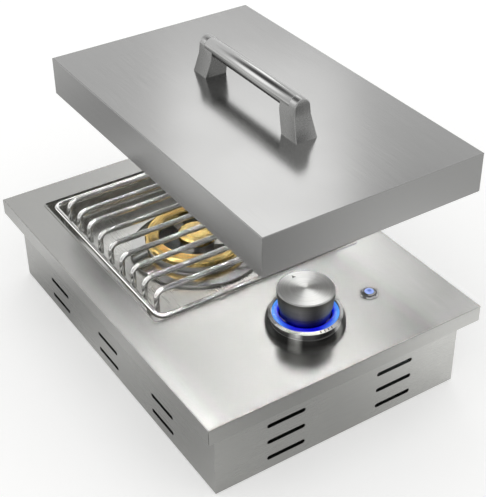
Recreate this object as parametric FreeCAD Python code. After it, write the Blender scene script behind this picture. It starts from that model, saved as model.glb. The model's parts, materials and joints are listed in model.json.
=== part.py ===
import FreeCAD, Part

import math
import os

from FreeCAD import Vector

os.makedirs("parts", exist_ok=True)

X = Vector(1, 0, 0)
Y = Vector(0, 1, 0)
Z = Vector(0, 0, 1)

# Origin at the middle of the underside, +X to the cook's right, +Y to the back, +Z up. Millimetres.

# Housing
deck_width = 362.0
deck_depth = 508.0
deck_height = 115.0
sheet = 1.0
skirt_drop = 20.5
skirt_return = 8.0
side_overhang = 16.0
end_overhang = 16.5
fold_r = 1.0
corner_seam = 0.4
wall_flange = 12.0
corner_tab = 10.0
flange_gap = 0.5
base_screw_inset = 63.0
tray_gap = 0.5

# Vents in the walls and the base
vent_height = 5.6
vent_pitch = 23.6
lowest_vent_z = 16.4
front_vent_length = 50.0
front_vent_x = 74.0
front_vent_rows = 3
side_vent_length = 48.0
side_vent_y = 4.5
side_vent_spacing = 130.0
side_vent_rows = 2
base_vent_length = 70.0
base_vent_x = 82.0
base_vent_pitch = 56.0
base_vent_rows = 5

# Well, its raised rim and its liner
side_margin = 40.5
front_margin = 177.5
rear_margin = 41.5
well_corner_r = 3.0
rim_width = 2.0
rim_rise = 1.2
pan_drop = 38.0
pan_sheet = 1.0
pan_lip = 7.0

# Wire grate
rod_d = 5.5
frame_gap_x = 6.75
frame_gap_y = 4.2
frame_drop = 2.0
frame_corner_r = 12.0
bar_pitch = 27.5
first_bar = 16.5
last_bar = 38.0
bar_rise = 25.0
bar_bend_r = 9.0
weld_gap = 0.05
foot_inset = 26.0
rest_gap = 0.3

# Cast bowl
trough_r = 63.0
trough_width = 14.0
cast_wall = 2.0
bowl_flange = 9.0
bowl_flange_t = 2.0
floor_hole_gap = 1.0
bowl_drop = 5.0
ring_seat = 16.0
hub_r = 22.0
neck_r = 14.0
spoke_width = 13.0
spoke_drop = 7.0
spoke_count = 3
bowl_screw_inset = 3.5

# Brass flame ring and cap
ring_overhang = 3.0
ring_height = 10.0
ring_ports = 24
cap_overhang = 2.0
cap_height = 11.0
cap_ports = 16
port_width = 1.6
port_height = 3.4
port_sill = 1.7
brass_wall = 1.4
crown = 3.2
seat_gap = 0.2
spigot_gap = 0.3
spigot_drop = 4.0

# Bright spill ring round the bowl
spill_width = 18.5
spill_gap = 1.5
spill_rise = 3.6
spill_slope = 3.4

# Mixing tube, air shutter and jet
tube_drop = 17.0
tube_r = 12.0
tube_wall = 2.0
bell_r = 15.0
bell_length = 20.0
bell_throat = 8.0
mouth_gap = 13.0
window_height = 9.0
window_length = 9.0
shutter_wall = 1.0
shutter_gap = 0.06
shutter_length = 14.0
shutter_turn = 18.0
tab_width = 8.0
tab_drop = 8.0
jet_hex = 10.0
jet_hex_length = 8.0
jet_thread_r = 4.0
jet_thread = 8.0
jet_nose_r = 3.0
jet_hole_r = 0.8
jet_reach = 3.0

# Gas valve
knob_x = 0.0
knob_inset = 88.0
valve_r = 13.0
valve_depth = 14.0
valve_neck_r = 9.0
valve_neck_rise = 3.0
outlet_reach = 25.0
inlet_reach = 22.0
gas_way_r = 2.5
plate_length = 56.0
plate_width = 26.0
plate_t = 2.0
ear_x = 20.0
ear_r = 5.0
ear_depth = 8.0
screw_r = 2.0
screw_gap = 0.1
head_r = 3.6
head_height = 2.2
crown_taper = 0.7
stem_r = 4.0
stem_length = 38.0
shaft_r = 3.0
shaft_flat = 2.3
fit_gap = 0.05
push_travel = 3.0
collar_t = 2.0
spring_wire_r = 0.4
stem_spring_turns = 3
button_spring_turns = 4
spring_fit = 1.6

# Gas pipe and inlet
pipe_r = 5.0
pipe_wall = 1.0
pipe_inset = 47.0
pipe_bend_r = 22.0
pipe_socket = 3.0
union_hex = 17.0
union_length = 12.0
inlet_hex = 22.0
inlet_hex_length = 10.4
bulkhead_r = 9.0
bulkhead_gap = 0.3
inlet_thread_r = 7.94
inlet_thread = 15.5
flare_length = 5.0
flare_r = 4.4
inlet_bore_r = 3.5
nut_t = 5.5

# Knob, bezel and light ring
knob_r = 32.4
knob_taper = 2.0
knob_foot_step = 3.8
knob_top = 46.8
knob_foot = 14.5
knob_wall = 2.6
knob_face = 3.2
knob_hub_r = 8.0
knob_hub_rise = 12.0
knob_edge = 1.2
pointer_inset = 7.4
pointer_size = 5.0
pointer_depth = 0.5
bezel_gap = 13.1
bezel_flare = 3.7
bezel_height = 16.0
bezel_wall = 1.8
light_gap = 5.2
light_width = 7.6
light_rise = 15.2
light_height = 5.0
board_t = 1.0

# Light button
button_x = 90.0
button_r = 11.0
button_rise = 2.6
barrel_r = 9.4
barrel_length = 25.0
plunger_r = 7.2
plunger_rise = 3.8
plunger_length = 9.0
lens_r = 4.4
lens_depth = 1.6
button_gap = 0.1
button_spring_r = 4.5
spring_end_gap = 0.1
switch_drop = 10.0
switch_plug = 6.0
switch_nut_hex = 24.0
switch_nut_t = 4.0

# Battery holder under the deck
battery_x = -90.0
cell_r = 7.1
cell_length = 50.0
cell_gap = 0.3
holder_wall = 1.5

# Igniter
igniter_angle = 20.0
igniter_gap = 12.6
ceramic_r = 3.2
ceramic_drop = 14.0
electrode_r = 0.9
spark_gap = 3.2

# Heat shield between the well and the controls
shield_gap = 10.5

# Lid
lid_side_inset = 35.0
lid_end_inset = 15.5
lid_height = 49.6
lid_hem = 6.0
hem_t = 1.8
lid_seat_gap = 0.2
lid_shift_x = 64.9
lid_shift_y = 37.8
lid_raise = 115.1

# Lid handle
handle_length = 207.0
handle_height = 48.2
handle_bar_r = 10.0
post_depth = 25.0
post_width = 26.5
bar_tenon_r = 6.0
bar_tenon = 8.0
bar_edge = 0.5
handle_screw_r = 2.5
handle_screw_length = 14.0
handle_screw_head = 4.6

# Places that follow from the sizes above
half_x = deck_width / 2 - side_overhang
half_y = deck_depth / 2 - end_overhang
deck_under = deck_height - sheet
well_x = deck_width / 2 - side_margin
well_front = front_margin - deck_depth / 2
well_back = deck_depth / 2 - rear_margin
well_y = (well_front + well_back) / 2
pan_floor = deck_height - pan_drop
rod_r = rod_d / 2
frame_x = well_x - frame_gap_x - rod_r
frame_front = well_front + frame_gap_y + rod_r
frame_back = well_back - frame_gap_y - rod_r
frame_z = deck_height - frame_drop
bar_count = round((frame_back - frame_front - first_bar - last_bar) / bar_pitch) + 1
trough_inner_r = trough_r - trough_width
bowl_floor = pan_floor - bowl_drop
seat_z = pan_floor + ring_seat
ring_r = trough_r + ring_overhang
cap_r = hub_r + cap_overhang
gas_z = pan_floor - tube_drop
knob_y = knob_inset - deck_depth / 2
outlet_y = knob_y + outlet_reach
mouth_y = outlet_y + mouth_gap + jet_hex_length
pipe_x = half_x - pipe_inset
stem_bottom = deck_height + knob_hub_rise - stem_length
barrel_bottom = deck_height - barrel_length
bezel_r = knob_r + bezel_gap
light_outer_r = knob_r + light_gap
light_inner_r = light_outer_r - light_width
lid_base = deck_height + lid_seat_gap + lid_raise
post_y = handle_length / 2 - post_depth / 2
bar_axis = handle_height - handle_bar_r


def box(x0, x1, y0, y1, z0, z1):
    return Part.makeBox(x1 - x0, y1 - y0, z1 - z0, Vector(x0, y0, z0))


def rod(radius, start, end):
    run = end - start
    return Part.makeCylinder(radius, run.Length, start, run)


def upright(radius, x, y, z0, z1):
    return Part.makeCylinder(radius, z1 - z0, Vector(x, y, z0), Z)


def face_of(points):
    return Part.Face(Part.makePolygon([Vector(*p) for p in points] + [Vector(*points[0])]))


def turned(outline, x=0.0, y=0.0):
    """A solid of revolution about the upright line through x, y, from (radius, z) corners."""
    solid = face_of([(r, 0, z) for r, z in outline]).revolve(Vector(0, 0, 0), Z, 360)
    solid.translate(Vector(x, y, 0))
    return solid


def hexagon(across_flats, start, end):
    """A hexagonal bar from start to end."""
    run = end - start
    side = Y if abs(run.x) > abs(run.y) else X
    up = Y if abs(run.z) > 0 else Z
    corner = across_flats / math.sqrt(3)
    points = []
    for k in range(6):
        a = math.radians(60 * k)
        points.append(start + side * (corner * math.cos(a)) + up * (corner * math.sin(a)))
    return Part.Face(Part.makePolygon(points + [points[0]])).extrude(run)


def rounded_rectangle(x0, x1, y0, y1, radius, z):
    """A closed wire with an arc at each corner."""
    corners = [
        (x1 - radius, y1 - radius, 0),
        (x0 + radius, y1 - radius, 90),
        (x0 + radius, y0 + radius, 180),
        (x1 - radius, y0 + radius, 270),
    ]
    arcs = []
    for cx, cy, start in corners:
        circle = Part.Circle(Vector(cx, cy, z), Z, radius)
        arcs.append(Part.Arc(circle, math.radians(start), math.radians(start + 90)))
    edges = []
    for this, following in zip(arcs, arcs[1:] + arcs[:1]):
        edges.append(this.toShape())
        edges.append(Part.LineSegment(this.EndPoint, following.StartPoint).toShape())
    return Part.Wire(edges)


def rounded_block(x0, x1, y0, y1, radius, z0, z1):
    return Part.Face(rounded_rectangle(x0, x1, y0, y1, radius, z0)).extrude(Z * (z1 - z0))


def slot_cutter(centre, along, through, length, height):
    """A cutter with round ends; through is the vector that it runs along, starting at centre."""
    half = length / 2 - height / 2
    up = along.cross(through).normalize() * (height / 2)
    ends = [centre - along * half, centre + along * half]
    corners = [ends[0] - up, ends[1] - up, ends[1] + up, ends[0] + up]
    body = Part.Face(Part.makePolygon(corners + [corners[0]])).extrude(through)
    return body.fuse([Part.makeCylinder(height / 2, through.Length, end, through) for end in ends])


def bent_rod(points, radius, bend):
    """A round rod through the points, with the same bend radius at each inner point."""
    edges = []
    last = points[0]
    for before, corner, after in zip(points, points[1:], points[2:]):
        a = (before - corner).normalize()
        b = (after - corner).normalize()
        half = a.getAngle(b) / 2
        start = corner + a * (bend / math.tan(half))
        end = corner + b * (bend / math.tan(half))
        middle = corner + (a + b).normalize() * (bend / math.sin(half) - bend)
        edges.append(Part.LineSegment(last, start).toShape())
        edges.append(Part.Arc(start, middle, end).toShape())
        last = end
    edges.append(Part.LineSegment(last, points[-1]).toShape())
    section = Part.Wire(Part.Circle(points[0], points[1] - points[0], radius).toShape())
    return Part.Wire(edges).makePipeShell([section], True, False)


def coil(x, y, z0, z1, mean_r, wire_r, turns):
    """An open coil spring between two levels: one tube along rising arcs of a quarter turn each."""
    rise = z1 - z0 - 2 * wire_r
    steps = 8 * turns
    path = []
    for k in range(steps + 1):
        path.append(Vector(*on_circle(mean_r, k * 45, x, y), z0 + wire_r + rise * k / steps))
    arcs = [Part.Arc(*path[k:k + 3]).toShape() for k in range(0, steps, 2)]
    section = Part.Wire(Part.Circle(path[0], Y, wire_r).toShape())
    print(f"coil of {turns} turns: gap between turns {rise / turns - 2 * wire_r:.2f} mm")
    return Part.Wire(arcs).makePipeShell([section], True, False)


def on_circle(radius, degrees, x=0.0, y=0.0):
    a = math.radians(degrees)
    return x + radius * math.cos(a), y + radius * math.sin(a)


def button_screw(x, y, z, length, radius, head, up=1):
    """A screw with a domed head, its head on level z; up is -1 for one driven from below."""
    cap = Part.makeCylinder(head, head_height / 2, Vector(x, y, z), Z * up)
    rim = Vector(x, y, z + up * head_height / 2)
    crown = Part.makeCone(head, head * crown_taper, head_height / 2, rim, Z * up)
    return cap.fuse([crown, Part.makeCylinder(radius, length, Vector(x, y, z), Z * -up)])


def edges_at(shape, z):
    """The edges that lie level at height z."""
    near = 0.01
    return [e for e in shape.Edges if abs(e.BoundBox.ZMin - z) < near and abs(e.BoundBox.ZMax - z) < near]


def save(name, *solids):
    shape = solids[0] if len(solids) == 1 else Part.makeCompound(list(solids))
    shape.exportStep(os.path.join("parts", name + ".step"))
    flaw = "" if shape.isValid() else ", not valid"
    print(f"{name}: {len(shape.Solids)} solid(s), {shape.Volume:.0f} mm3{flaw}")


# Housing

def channel(length, height):
    """A wall with a flange folded in at top and bottom, outer face on y = 0, flanges towards +Y."""
    outline = [
        (0, 0), (wall_flange, 0), (wall_flange, sheet), (sheet, sheet),
        (sheet, height - sheet), (wall_flange, height - sheet), (wall_flange, height), (0, height),
    ]
    wall = face_of([(-length / 2, y, z) for y, z in outline]).extrude(X * length)
    folds = [e for e in edges_at(wall, 0) + edges_at(wall, height) if e.BoundBox.YMax < 0.01]
    return wall.makeFillet(fold_r * 0.8, folds)


def front_vents():
    cutters = []
    for side in (-1, 1):
        for row in range(front_vent_rows):
            centre = Vector(side * front_vent_x, -half_y - sheet, lowest_vent_z + row * vent_pitch)
            cutters.append(slot_cutter(centre, X, Y * (3 * sheet), front_vent_length, vent_height))
    return cutters


def side_vents():
    cutters = []
    for place in (-1, 0, 1):
        for row in range(side_vent_rows):
            y = side_vent_y + place * side_vent_spacing
            centre = Vector(-half_x - sheet, y, lowest_vent_z + row * vent_pitch)
            cutters.append(slot_cutter(centre, Y, X * (3 * sheet), side_vent_length, vent_height))
    return cutters


def base_screw_places():
    x = half_x - base_screw_inset
    y = half_y - wall_flange / 2
    return [(sx * x, sy * y) for sx in (-1, 1) for sy in (-1, 1)]


def front_panel():
    """An end wall, its flanges trimmed to lie between the side walls."""
    wall = channel(2 * half_x, deck_under)
    for end in (-1, 1):
        x0, x1 = sorted((end * half_x, end * (half_x - sheet - flange_gap)))
        wall = wall.cut([
            box(x0, x1, sheet, 2 * wall_flange, -sheet, sheet),
            box(x0, x1, sheet, 2 * wall_flange, deck_under - sheet, deck_height),
        ])
    wall.translate(Y * -half_y)
    holes = [upright(screw_r + screw_gap, x, y, -sheet, 2 * sheet) for x, y in base_screw_places()]
    return wall.cut(front_vents() + holes)


def rear_panel():
    wall = front_panel()
    wall.rotate(Vector(0, 0, 0), Z, 180)
    start = Vector(pipe_x, half_y - 2 * sheet, gas_z)
    return wall.cut(rod(bulkhead_r + bulkhead_gap, start, start + Y * (3 * sheet)))


def side_panel(side):
    """A side wall: its flanges stop short of the end walls, and tabs at its ends lie against them."""
    length = 2 * (half_y - sheet)
    wall = channel(length, deck_under)
    trim = wall_flange - sheet + flange_gap
    for end in (-1, 1):
        edge = end * length / 2
        x0, x1 = sorted((edge, edge - end * trim))
        notches = [
            box(x0, x1, sheet, 2 * wall_flange, -sheet, sheet),
            box(x0, x1, sheet, 2 * wall_flange, deck_under - sheet, deck_height),
        ]
        t0, t1 = sorted((edge, edge - end * sheet))
        tab = box(t0, t1, 0, corner_tab, 2 * sheet + flange_gap, deck_under - sheet - flange_gap)
        wall = wall.cut(notches).fuse(tab)
    wall = wall.removeSplitter()
    wall.rotate(Vector(0, 0, 0), Z, -90)
    wall.translate(X * -half_x)
    wall = wall.cut(side_vents())
    if side > 0:
        wall = wall.mirror(Vector(0, 0, 0), X)
    return wall


def base_panel():
    """A pressed tray: its rim lies on the walls' flanges and its field is level with their undersides."""
    x = half_x - sheet - flange_gap
    y = half_y - sheet - flange_gap
    field_x, field_y = tray_field()
    rim = box(-x, x, -y, y, sheet, 2 * sheet)
    hollow = box(sheet - field_x, field_x - sheet, sheet - field_y, field_y - sheet, sheet, 2 * sheet)
    field = box(-field_x, field_x, -field_y, field_y, 0, sheet)
    cutters = [upright(screw_r + screw_gap, sx, sy, 0, 3 * sheet) for sx, sy in base_screw_places()]
    for side in (-1, 1):
        for k in range(base_vent_rows):
            centre = Vector(side * base_vent_x, (k - (base_vent_rows - 1) / 2) * base_vent_pitch, -sheet)
            cutters.append(slot_cutter(centre, X, Z * (3 * sheet), base_vent_length, vent_height))
    return rim.cut(hollow).fuse(field).removeSplitter().cut(cutters)


def tray_field():
    """Half the width and depth of the tray's lowered field, between the walls' flanges."""
    return half_x - wall_flange - tray_gap, half_y - wall_flange - tray_gap


def base_screws():
    length = 2 * sheet - rest_gap
    return [button_screw(x, y, 2 * sheet, length, screw_r, head_r) for x, y in base_screw_places()]


def top_deck():
    """The folded top: plate, skirt with an inward return, raised rim round the well, and the holes."""
    x, y = deck_width / 2, deck_depth / 2
    low = deck_height - skirt_drop
    plate = box(-x, x, -y, y, low, deck_height)
    plate = plate.makeFillet(fold_r, edges_at(plate, deck_height))
    hollow = box(-x + sheet, x - sheet, -y + sheet, y - sheet, low + sheet, deck_under)
    inner_x, inner_y = x - skirt_return, y - skirt_return
    mouth = box(-inner_x, inner_x, -inner_y, inner_y, 0, low + 2 * sheet)
    rim_x = well_x + rim_width
    rim = rounded_block(-rim_x, rim_x, well_front - rim_width, well_back + rim_width,
                        well_corner_r + rim_width, deck_under, deck_height + rim_rise)
    rim = rim.makeFillet(rim_rise * 0.6, edges_at(rim, deck_height + rim_rise))
    well = rounded_block(-well_x, well_x, well_front, well_back, well_corner_r, low, 2 * deck_height)
    holes = [
        upright(valve_neck_r + 0.6, knob_x, knob_y, low, 2 * deck_height),
        upright(barrel_r + 0.2, button_x, knob_y, low, 2 * deck_height),
    ]
    holes += [upright(screw_r + screw_gap, sx, knob_y, low, 2 * deck_height) for sx in valve_screw_places()]
    return plate.cut([hollow, mouth]).fuse(rim).cut([well] + holes + corner_seams(x, y, low, deck_under))


def corner_seams(x, y, low, under):
    """The narrow gap left where two folded sides meet at each corner, below the top's underside."""
    cutters = []
    for sx in (-1, 1):
        for sy in (-1, 1):
            cut = box(-3 * sheet, 3 * sheet, -corner_seam / 2, corner_seam / 2, low - 1, under - 1)
            cut.rotate(Vector(0, 0, 0), Z, 45 if sx == sy else -45)
            cut.translate(Vector(sx * x, sy * y, 0))
            cutters.append(cut)
    return cutters


def burner_pan():
    """The well liner: lip under the deck, straight walls, and a floor with the burner's hole."""
    t = pan_sheet
    lip = rounded_block(-well_x - pan_lip, well_x + pan_lip, well_front - pan_lip, well_back + pan_lip,
                        well_corner_r + pan_lip, deck_under - t, deck_under)
    tub = rounded_block(-well_x - t, well_x + t, well_front - t, well_back + t,
                        well_corner_r + t, pan_floor - t, deck_under)
    inside = rounded_block(-well_x, well_x, well_front, well_back, well_corner_r, pan_floor, deck_height)
    inside = inside.makeFillet(well_corner_r * 0.9, edges_at(inside, pan_floor))
    holes = [
        upright(trough_r + floor_hole_gap, 0, well_y, 0, deck_height),
        upright(ceramic_r + 0.4, *igniter_place(), 0, deck_height),
    ]
    holes += [upright(screw_r + screw_gap, x, y, 0, deck_height) for x, y in bowl_screw_places()]
    return lip.fuse(tub).cut([inside] + holes)


def heat_shield():
    """The upright plate between the burner and the controls, with a foot folded on to the tray's field."""
    y = well_front - shield_gap - sheet
    x = half_x - sheet - flange_gap
    foot_x = tray_field()[0] - sheet - flange_gap
    plate = box(-x, x, y, y + sheet, 2 * sheet, deck_under - sheet - flange_gap)
    foot = box(-foot_x, foot_x, y - wall_flange, y + sheet, sheet, 2 * sheet)
    ends = Vector(0, y - wall_flange, gas_z), Vector(0, y + 2 * sheet, gas_z)
    pipe = Vector(pipe_x, ends[0].y, gas_z), Vector(pipe_x, ends[1].y, gas_z)
    return plate.fuse(foot).cut([rod(tube_r + 0.5, *ends), rod(pipe_r + 0.5, *pipe)]).removeSplitter()


# Wire grate

def grate_frame():
    path = rounded_rectangle(-frame_x, frame_x, frame_front, frame_back, frame_corner_r, frame_z)
    start = Vector(frame_x, frame_back - frame_corner_r, frame_z)
    section = Part.Wire(Part.Circle(start, Y, rod_r).toShape())
    return path.makePipeShell([section], True, False)


def grate_bars():
    """The cross rods, with both ends bent down against the inside of the frame."""
    x = frame_x - rod_d - weld_gap
    top = deck_height + bar_rise - rod_r
    foot = frame_z - rod_r
    bars = []
    for k in range(bar_count):
        y = frame_front + first_bar + k * bar_pitch
        points = [Vector(-x, y, foot), Vector(-x, y, top), Vector(x, y, top), Vector(x, y, foot)]
        bars.append(bent_rod(points, rod_r, bar_bend_r))
    return bars


def grate_feet():
    """Short legs that carry the frame on the liner's floor, coped round its rods."""
    feet = []
    for sx in (-1, 1):
        for y in (frame_front + foot_inset, frame_back - foot_inset):
            leg = upright(rod_r, sx * frame_x, y, pan_floor + rest_gap, frame_z)
            start = Vector(sx * frame_x, y - rod_d, frame_z)
            feet.append(leg.cut(rod(rod_r + weld_gap, start, start + Y * (2 * rod_d))))
    return feet


# Burner

def bowl_screw_places():
    radius = trough_r + bowl_flange - bowl_screw_inset
    return [on_circle(radius, 90 + 120 * k, 0, well_y) for k in range(3)]


def burner_bowl():
    """The casting: round trough, hub and neck, joined by hollow spokes, with a flange on the liner."""
    w = cast_wall
    flange_top = pan_floor + bowl_flange_t
    trough = turned([
        (trough_inner_r, bowl_floor), (trough_r, bowl_floor), (trough_r, pan_floor),
        (trough_r + bowl_flange, pan_floor), (trough_r + bowl_flange, flange_top), (trough_r, flange_top),
        (trough_r, seat_z), (trough_r - w, seat_z), (trough_r - w, bowl_floor + w),
        (trough_inner_r + w, bowl_floor + w), (trough_inner_r + w, seat_z), (trough_inner_r, seat_z),
    ], 0, well_y)
    foot = gas_z - tube_r - w
    hub = turned([
        (0, foot), (neck_r, foot), (neck_r, bowl_floor), (hub_r, bowl_floor), (hub_r, seat_z),
        (hub_r - w, seat_z), (hub_r - w, bowl_floor + w), (neck_r - w, bowl_floor + w),
        (neck_r - w, foot + w), (0, foot + w),
    ], 0, well_y)
    spokes, ducts = [], []
    for k in range(spoke_count):
        spokes.append(box(hub_r - w / 2, trough_inner_r + w / 2, -spoke_width / 2, spoke_width / 2,
                          bowl_floor, seat_z - spoke_drop))
        ducts.append(box(hub_r - 2 * w, trough_inner_r + 2 * w, w - spoke_width / 2, spoke_width / 2 - w,
                         bowl_floor + w, seat_z - spoke_drop - w))
        for piece in (spokes[-1], ducts[-1]):
            piece.rotate(Vector(0, 0, 0), Z, 90 + k * 360 / spoke_count)
            piece.translate(Y * well_y)
    port = Part.makeCylinder(tube_r - tube_wall, neck_r, Vector(0, well_y, gas_z), Y * -1)
    holes = [upright(screw_r + screw_gap, x, y, 0, seat_z) for x, y in bowl_screw_places()]
    return trough.fuse([hub] + spokes).cut(ducts + [port] + holes)


def burner_screws():
    top = pan_floor + bowl_flange_t
    length = bowl_flange_t + pan_sheet + 3
    return [button_screw(x, y, top, length, screw_r, head_r) for x, y in bowl_screw_places()]


def flame_ports(count, inner, outer):
    """Narrow radial cutters, evenly spaced round the burner."""
    low = seat_z + port_sill
    cutters = []
    for k in range(count):
        cutter = box(inner, outer, -port_width / 2, port_width / 2, low, low + port_height)
        cutter.rotate(Vector(0, 0, 0), Z, (k + 0.5) * 360 / count)
        cutter.translate(Y * well_y)
        cutters.append(cutter)
    return cutters


def outer_flame_ring():
    """The outer brass ring: a channel laid upside down on the trough, with ports in its outer side."""
    low = seat_z + seat_gap
    top = seat_z + ring_height
    skirt = low - spigot_drop
    outer = trough_r - cast_wall - spigot_gap
    inner = trough_inner_r + cast_wall + spigot_gap
    body = turned([
        (trough_inner_r - 0.5, low), (trough_inner_r - 0.5, top - 1.4), (trough_inner_r + 1.1, top),
        (ring_r - 8.5, top), (ring_r - 8.0, top - 0.6), (ring_r - 6.6, top - 0.6), (ring_r - 6.2, top - 0.2),
        (ring_r - 3.4, top - 0.8), (ring_r, top - 3.6), (ring_r, low + 1.0), (ring_r - 1.0, low),
        (outer, low), (outer, skirt), (outer - brass_wall, skirt), (outer - brass_wall, top - crown),
        (inner + brass_wall, top - crown), (inner + brass_wall, skirt), (inner, skirt), (inner, low),
    ], 0, well_y)
    return body.cut(flame_ports(ring_ports, outer - brass_wall - 1, ring_r + 1))


def inner_flame_cap():
    """The brass cap on the hub, with ports round its side."""
    low = seat_z + seat_gap
    top = seat_z + cap_height
    spigot = hub_r - cast_wall - spigot_gap
    body = turned([
        (0, top - crown), (spigot - brass_wall, top - crown), (spigot - brass_wall, low - spigot_drop),
        (spigot, low - spigot_drop), (spigot, low), (cap_r - 1.0, low), (cap_r, low + 1.0),
        (cap_r, top - 3.2), (cap_r - 3.0, top - 0.8), (cap_r - 8.0, top - 0.8), (cap_r - 9.0, top), (0, top),
    ], 0, well_y)
    return body.cut(flame_ports(cap_ports, spigot - brass_wall - 1, cap_r + 1))


def spill_ring():
    """The bright ring round the bowl: a shallow cone on a low turned-down rim."""
    t = pan_sheet
    inner = trough_r + spill_gap
    outer = inner + spill_width
    low = pan_floor + spill_rise
    high = low + spill_slope
    ring = turned([
        (inner, high - t), (inner, high), (outer, low), (outer, pan_floor), (outer - t, pan_floor),
        (outer - t, low - t),
    ], 0, well_y)
    return ring.cut(upright(ceramic_r + 0.5, *igniter_place(), pan_floor, seat_z))


def mixing_tube():
    """The tube from the air mouth to the burner's neck, with a bell and two air windows."""
    bore_r = tube_r - tube_wall
    bell_bore = bell_r - tube_wall
    neck_face = well_y - neck_r + 2
    bell_end = mouth_y + bell_length
    tube = rod(tube_r, Vector(0, bell_end - 1, gas_z), Vector(0, neck_face, gas_z))
    bell = rod(bell_r, Vector(0, mouth_y, gas_z), Vector(0, bell_end, gas_z))
    bore = rod(bore_r, Vector(0, mouth_y - 1, gas_z), Vector(0, neck_face + 1, gas_z))
    mouth = rod(bell_bore, Vector(0, mouth_y - 1, gas_z), Vector(0, bell_end - 6, gas_z))
    throat = Part.makeCone(bell_bore, bore_r, bell_throat, Vector(0, bell_end - 6, gas_z), Y)
    neck = upright(neck_r + fit_gap, 0, well_y, 0, deck_height)
    return tube.fuse(bell).cut([bore, mouth, throat, neck, air_windows(0)]).removeSplitter()


def air_windows(turn):
    """A cutter for the two air windows, left and right, turned about the tube's line."""
    reach = bell_r + 3 * shutter_wall
    middle = mouth_y + bell_length / 2
    cutter = box(-reach, reach, middle - window_length / 2, middle + window_length / 2,
                 gas_z - window_height / 2, gas_z + window_height / 2)
    cutter.rotate(Vector(0, 0, gas_z), Y, turn)
    return cutter


def air_shutter():
    """The turning sleeve on the bell, with two windows and a bent tab to turn it by."""
    inner = bell_r + shutter_gap
    outer = inner + shutter_wall
    y0 = mouth_y + (bell_length - shutter_length) / 2
    y1 = y0 + shutter_length
    sleeve = rod(outer, Vector(0, y0, gas_z), Vector(0, y1, gas_z))
    low = gas_z - outer - tab_drop
    leg = box(-tab_width / 2, tab_width / 2, y0, y0 + shutter_wall, low, gas_z - inner)
    toe = box(-tab_width / 2, tab_width / 2, y0, y0 + tab_width, low, low + shutter_wall)
    bore = rod(inner, Vector(0, y0 - 1, gas_z), Vector(0, y1 + 1, gas_z))
    return sleeve.fuse([leg, toe]).cut([bore, air_windows(shutter_turn)])


def gas_jet():
    """The brass jet: hexagon, threaded end in the valve's outlet, nose inside the mixing tube."""
    back = outlet_y + jet_hex_length
    tip = mouth_y + jet_reach
    body = hexagon(jet_hex, Vector(0, outlet_y, gas_z), Vector(0, back, gas_z))
    thread = rod(jet_thread_r, Vector(0, outlet_y - jet_thread, gas_z), Vector(0, outlet_y, gas_z))
    nose = Part.makeCone(jet_thread_r, jet_nose_r, tip - back, Vector(0, back, gas_z), Y)
    bore = rod(gas_way_r, Vector(0, outlet_y - jet_thread - 1, gas_z), Vector(0, tip - 3, gas_z))
    hole = rod(jet_hole_r, Vector(0, tip - 4, gas_z), Vector(0, tip + 1, gas_z))
    return body.fuse([thread, nose]).cut([bore, hole])


# Igniter

def igniter_place():
    return on_circle(trough_r + igniter_gap, igniter_angle, 0, well_y)


def igniter_ceramic():
    x, y = igniter_place()
    low, high = pan_floor - ceramic_drop, seat_z - 2
    under = pan_floor - pan_sheet
    body = upright(ceramic_r, x, y, low, high).fuse(upright(ceramic_r + 2, x, y, under - 3, under))
    return body.cut(upright(electrode_r, x, y, low - 1, high + 1))


def igniter_electrode():
    """The bare wire: up through the ceramic, then bent towards the ring's edge."""
    x, y = igniter_place()
    tip = on_circle(ring_r + spark_gap, igniter_angle, 0, well_y)
    top = seat_z + 4
    points = [Vector(x, y, pan_floor - ceramic_drop - 5), Vector(x, y, top), Vector(*tip, top)]
    return bent_rod(points, electrode_r - 0.01, 2 * electrode_r)


# Gas valve

def valve_screw_places():
    return [knob_x - ear_x, knob_x + ear_x]


def valve_body():
    under = deck_under - plate_t
    centre = Vector(knob_x, knob_y, gas_z)
    outlet = Vector(knob_x, outlet_y, gas_z)
    outlet_r = jet_thread_r + 4
    inlet_r = pipe_r + 3
    body = upright(valve_r, knob_x, knob_y, gas_z - valve_depth, under)
    parts = [
        upright(valve_neck_r, knob_x, knob_y, under, deck_height + valve_neck_rise),
        rod(outlet_r, centre, outlet),
        rod(inlet_r, centre, centre + X * inlet_reach),
    ]
    cuts = [
        upright(stem_r + fit_gap, knob_x, knob_y, stem_bottom - push_travel - 1, 2 * deck_height),
        upright(gas_way_r, knob_x, knob_y, gas_z, stem_bottom),
        rod(jet_thread_r, outlet - Y * (jet_thread + 1), outlet + Y),
        rod(gas_way_r, centre, outlet),
        rod(pipe_r + 0.02, centre + X * (inlet_reach - 8), centre + X * (inlet_reach + 1)),
        rod(gas_way_r, centre, centre + X * inlet_reach),
    ]
    for x in valve_screw_places():
        inner, outer = sorted((knob_x, x))
        parts.append(upright(ear_r, x, knob_y, under - ear_depth, under))
        parts.append(box(inner, outer, knob_y - ear_r / 2, knob_y + ear_r / 2, under - ear_depth, under))
        cuts.append(upright(screw_r, x, knob_y, under - ear_depth + 1, under + 1))
    return body.fuse(parts).cut(cuts).removeSplitter()


def valve_plate():
    x, y = plate_length / 2, plate_width / 2
    low = deck_under - plate_t
    plate = rounded_block(knob_x - x, knob_x + x, knob_y - y, knob_y + y, ear_r, low, deck_under)
    holes = [upright(valve_neck_r + 0.1, knob_x, knob_y, 0, deck_height)]
    holes += [upright(screw_r + screw_gap, sx, knob_y, 0, deck_height) for sx in valve_screw_places()]
    return plate.cut(holes)


def valve_screws():
    seat = deck_height + bezel_floor()
    length = bezel_floor() + sheet + plate_t + ear_depth - 3
    return [button_screw(x, knob_y, seat, length, screw_r - 0.02, head_r) for x in valve_screw_places()]


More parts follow.
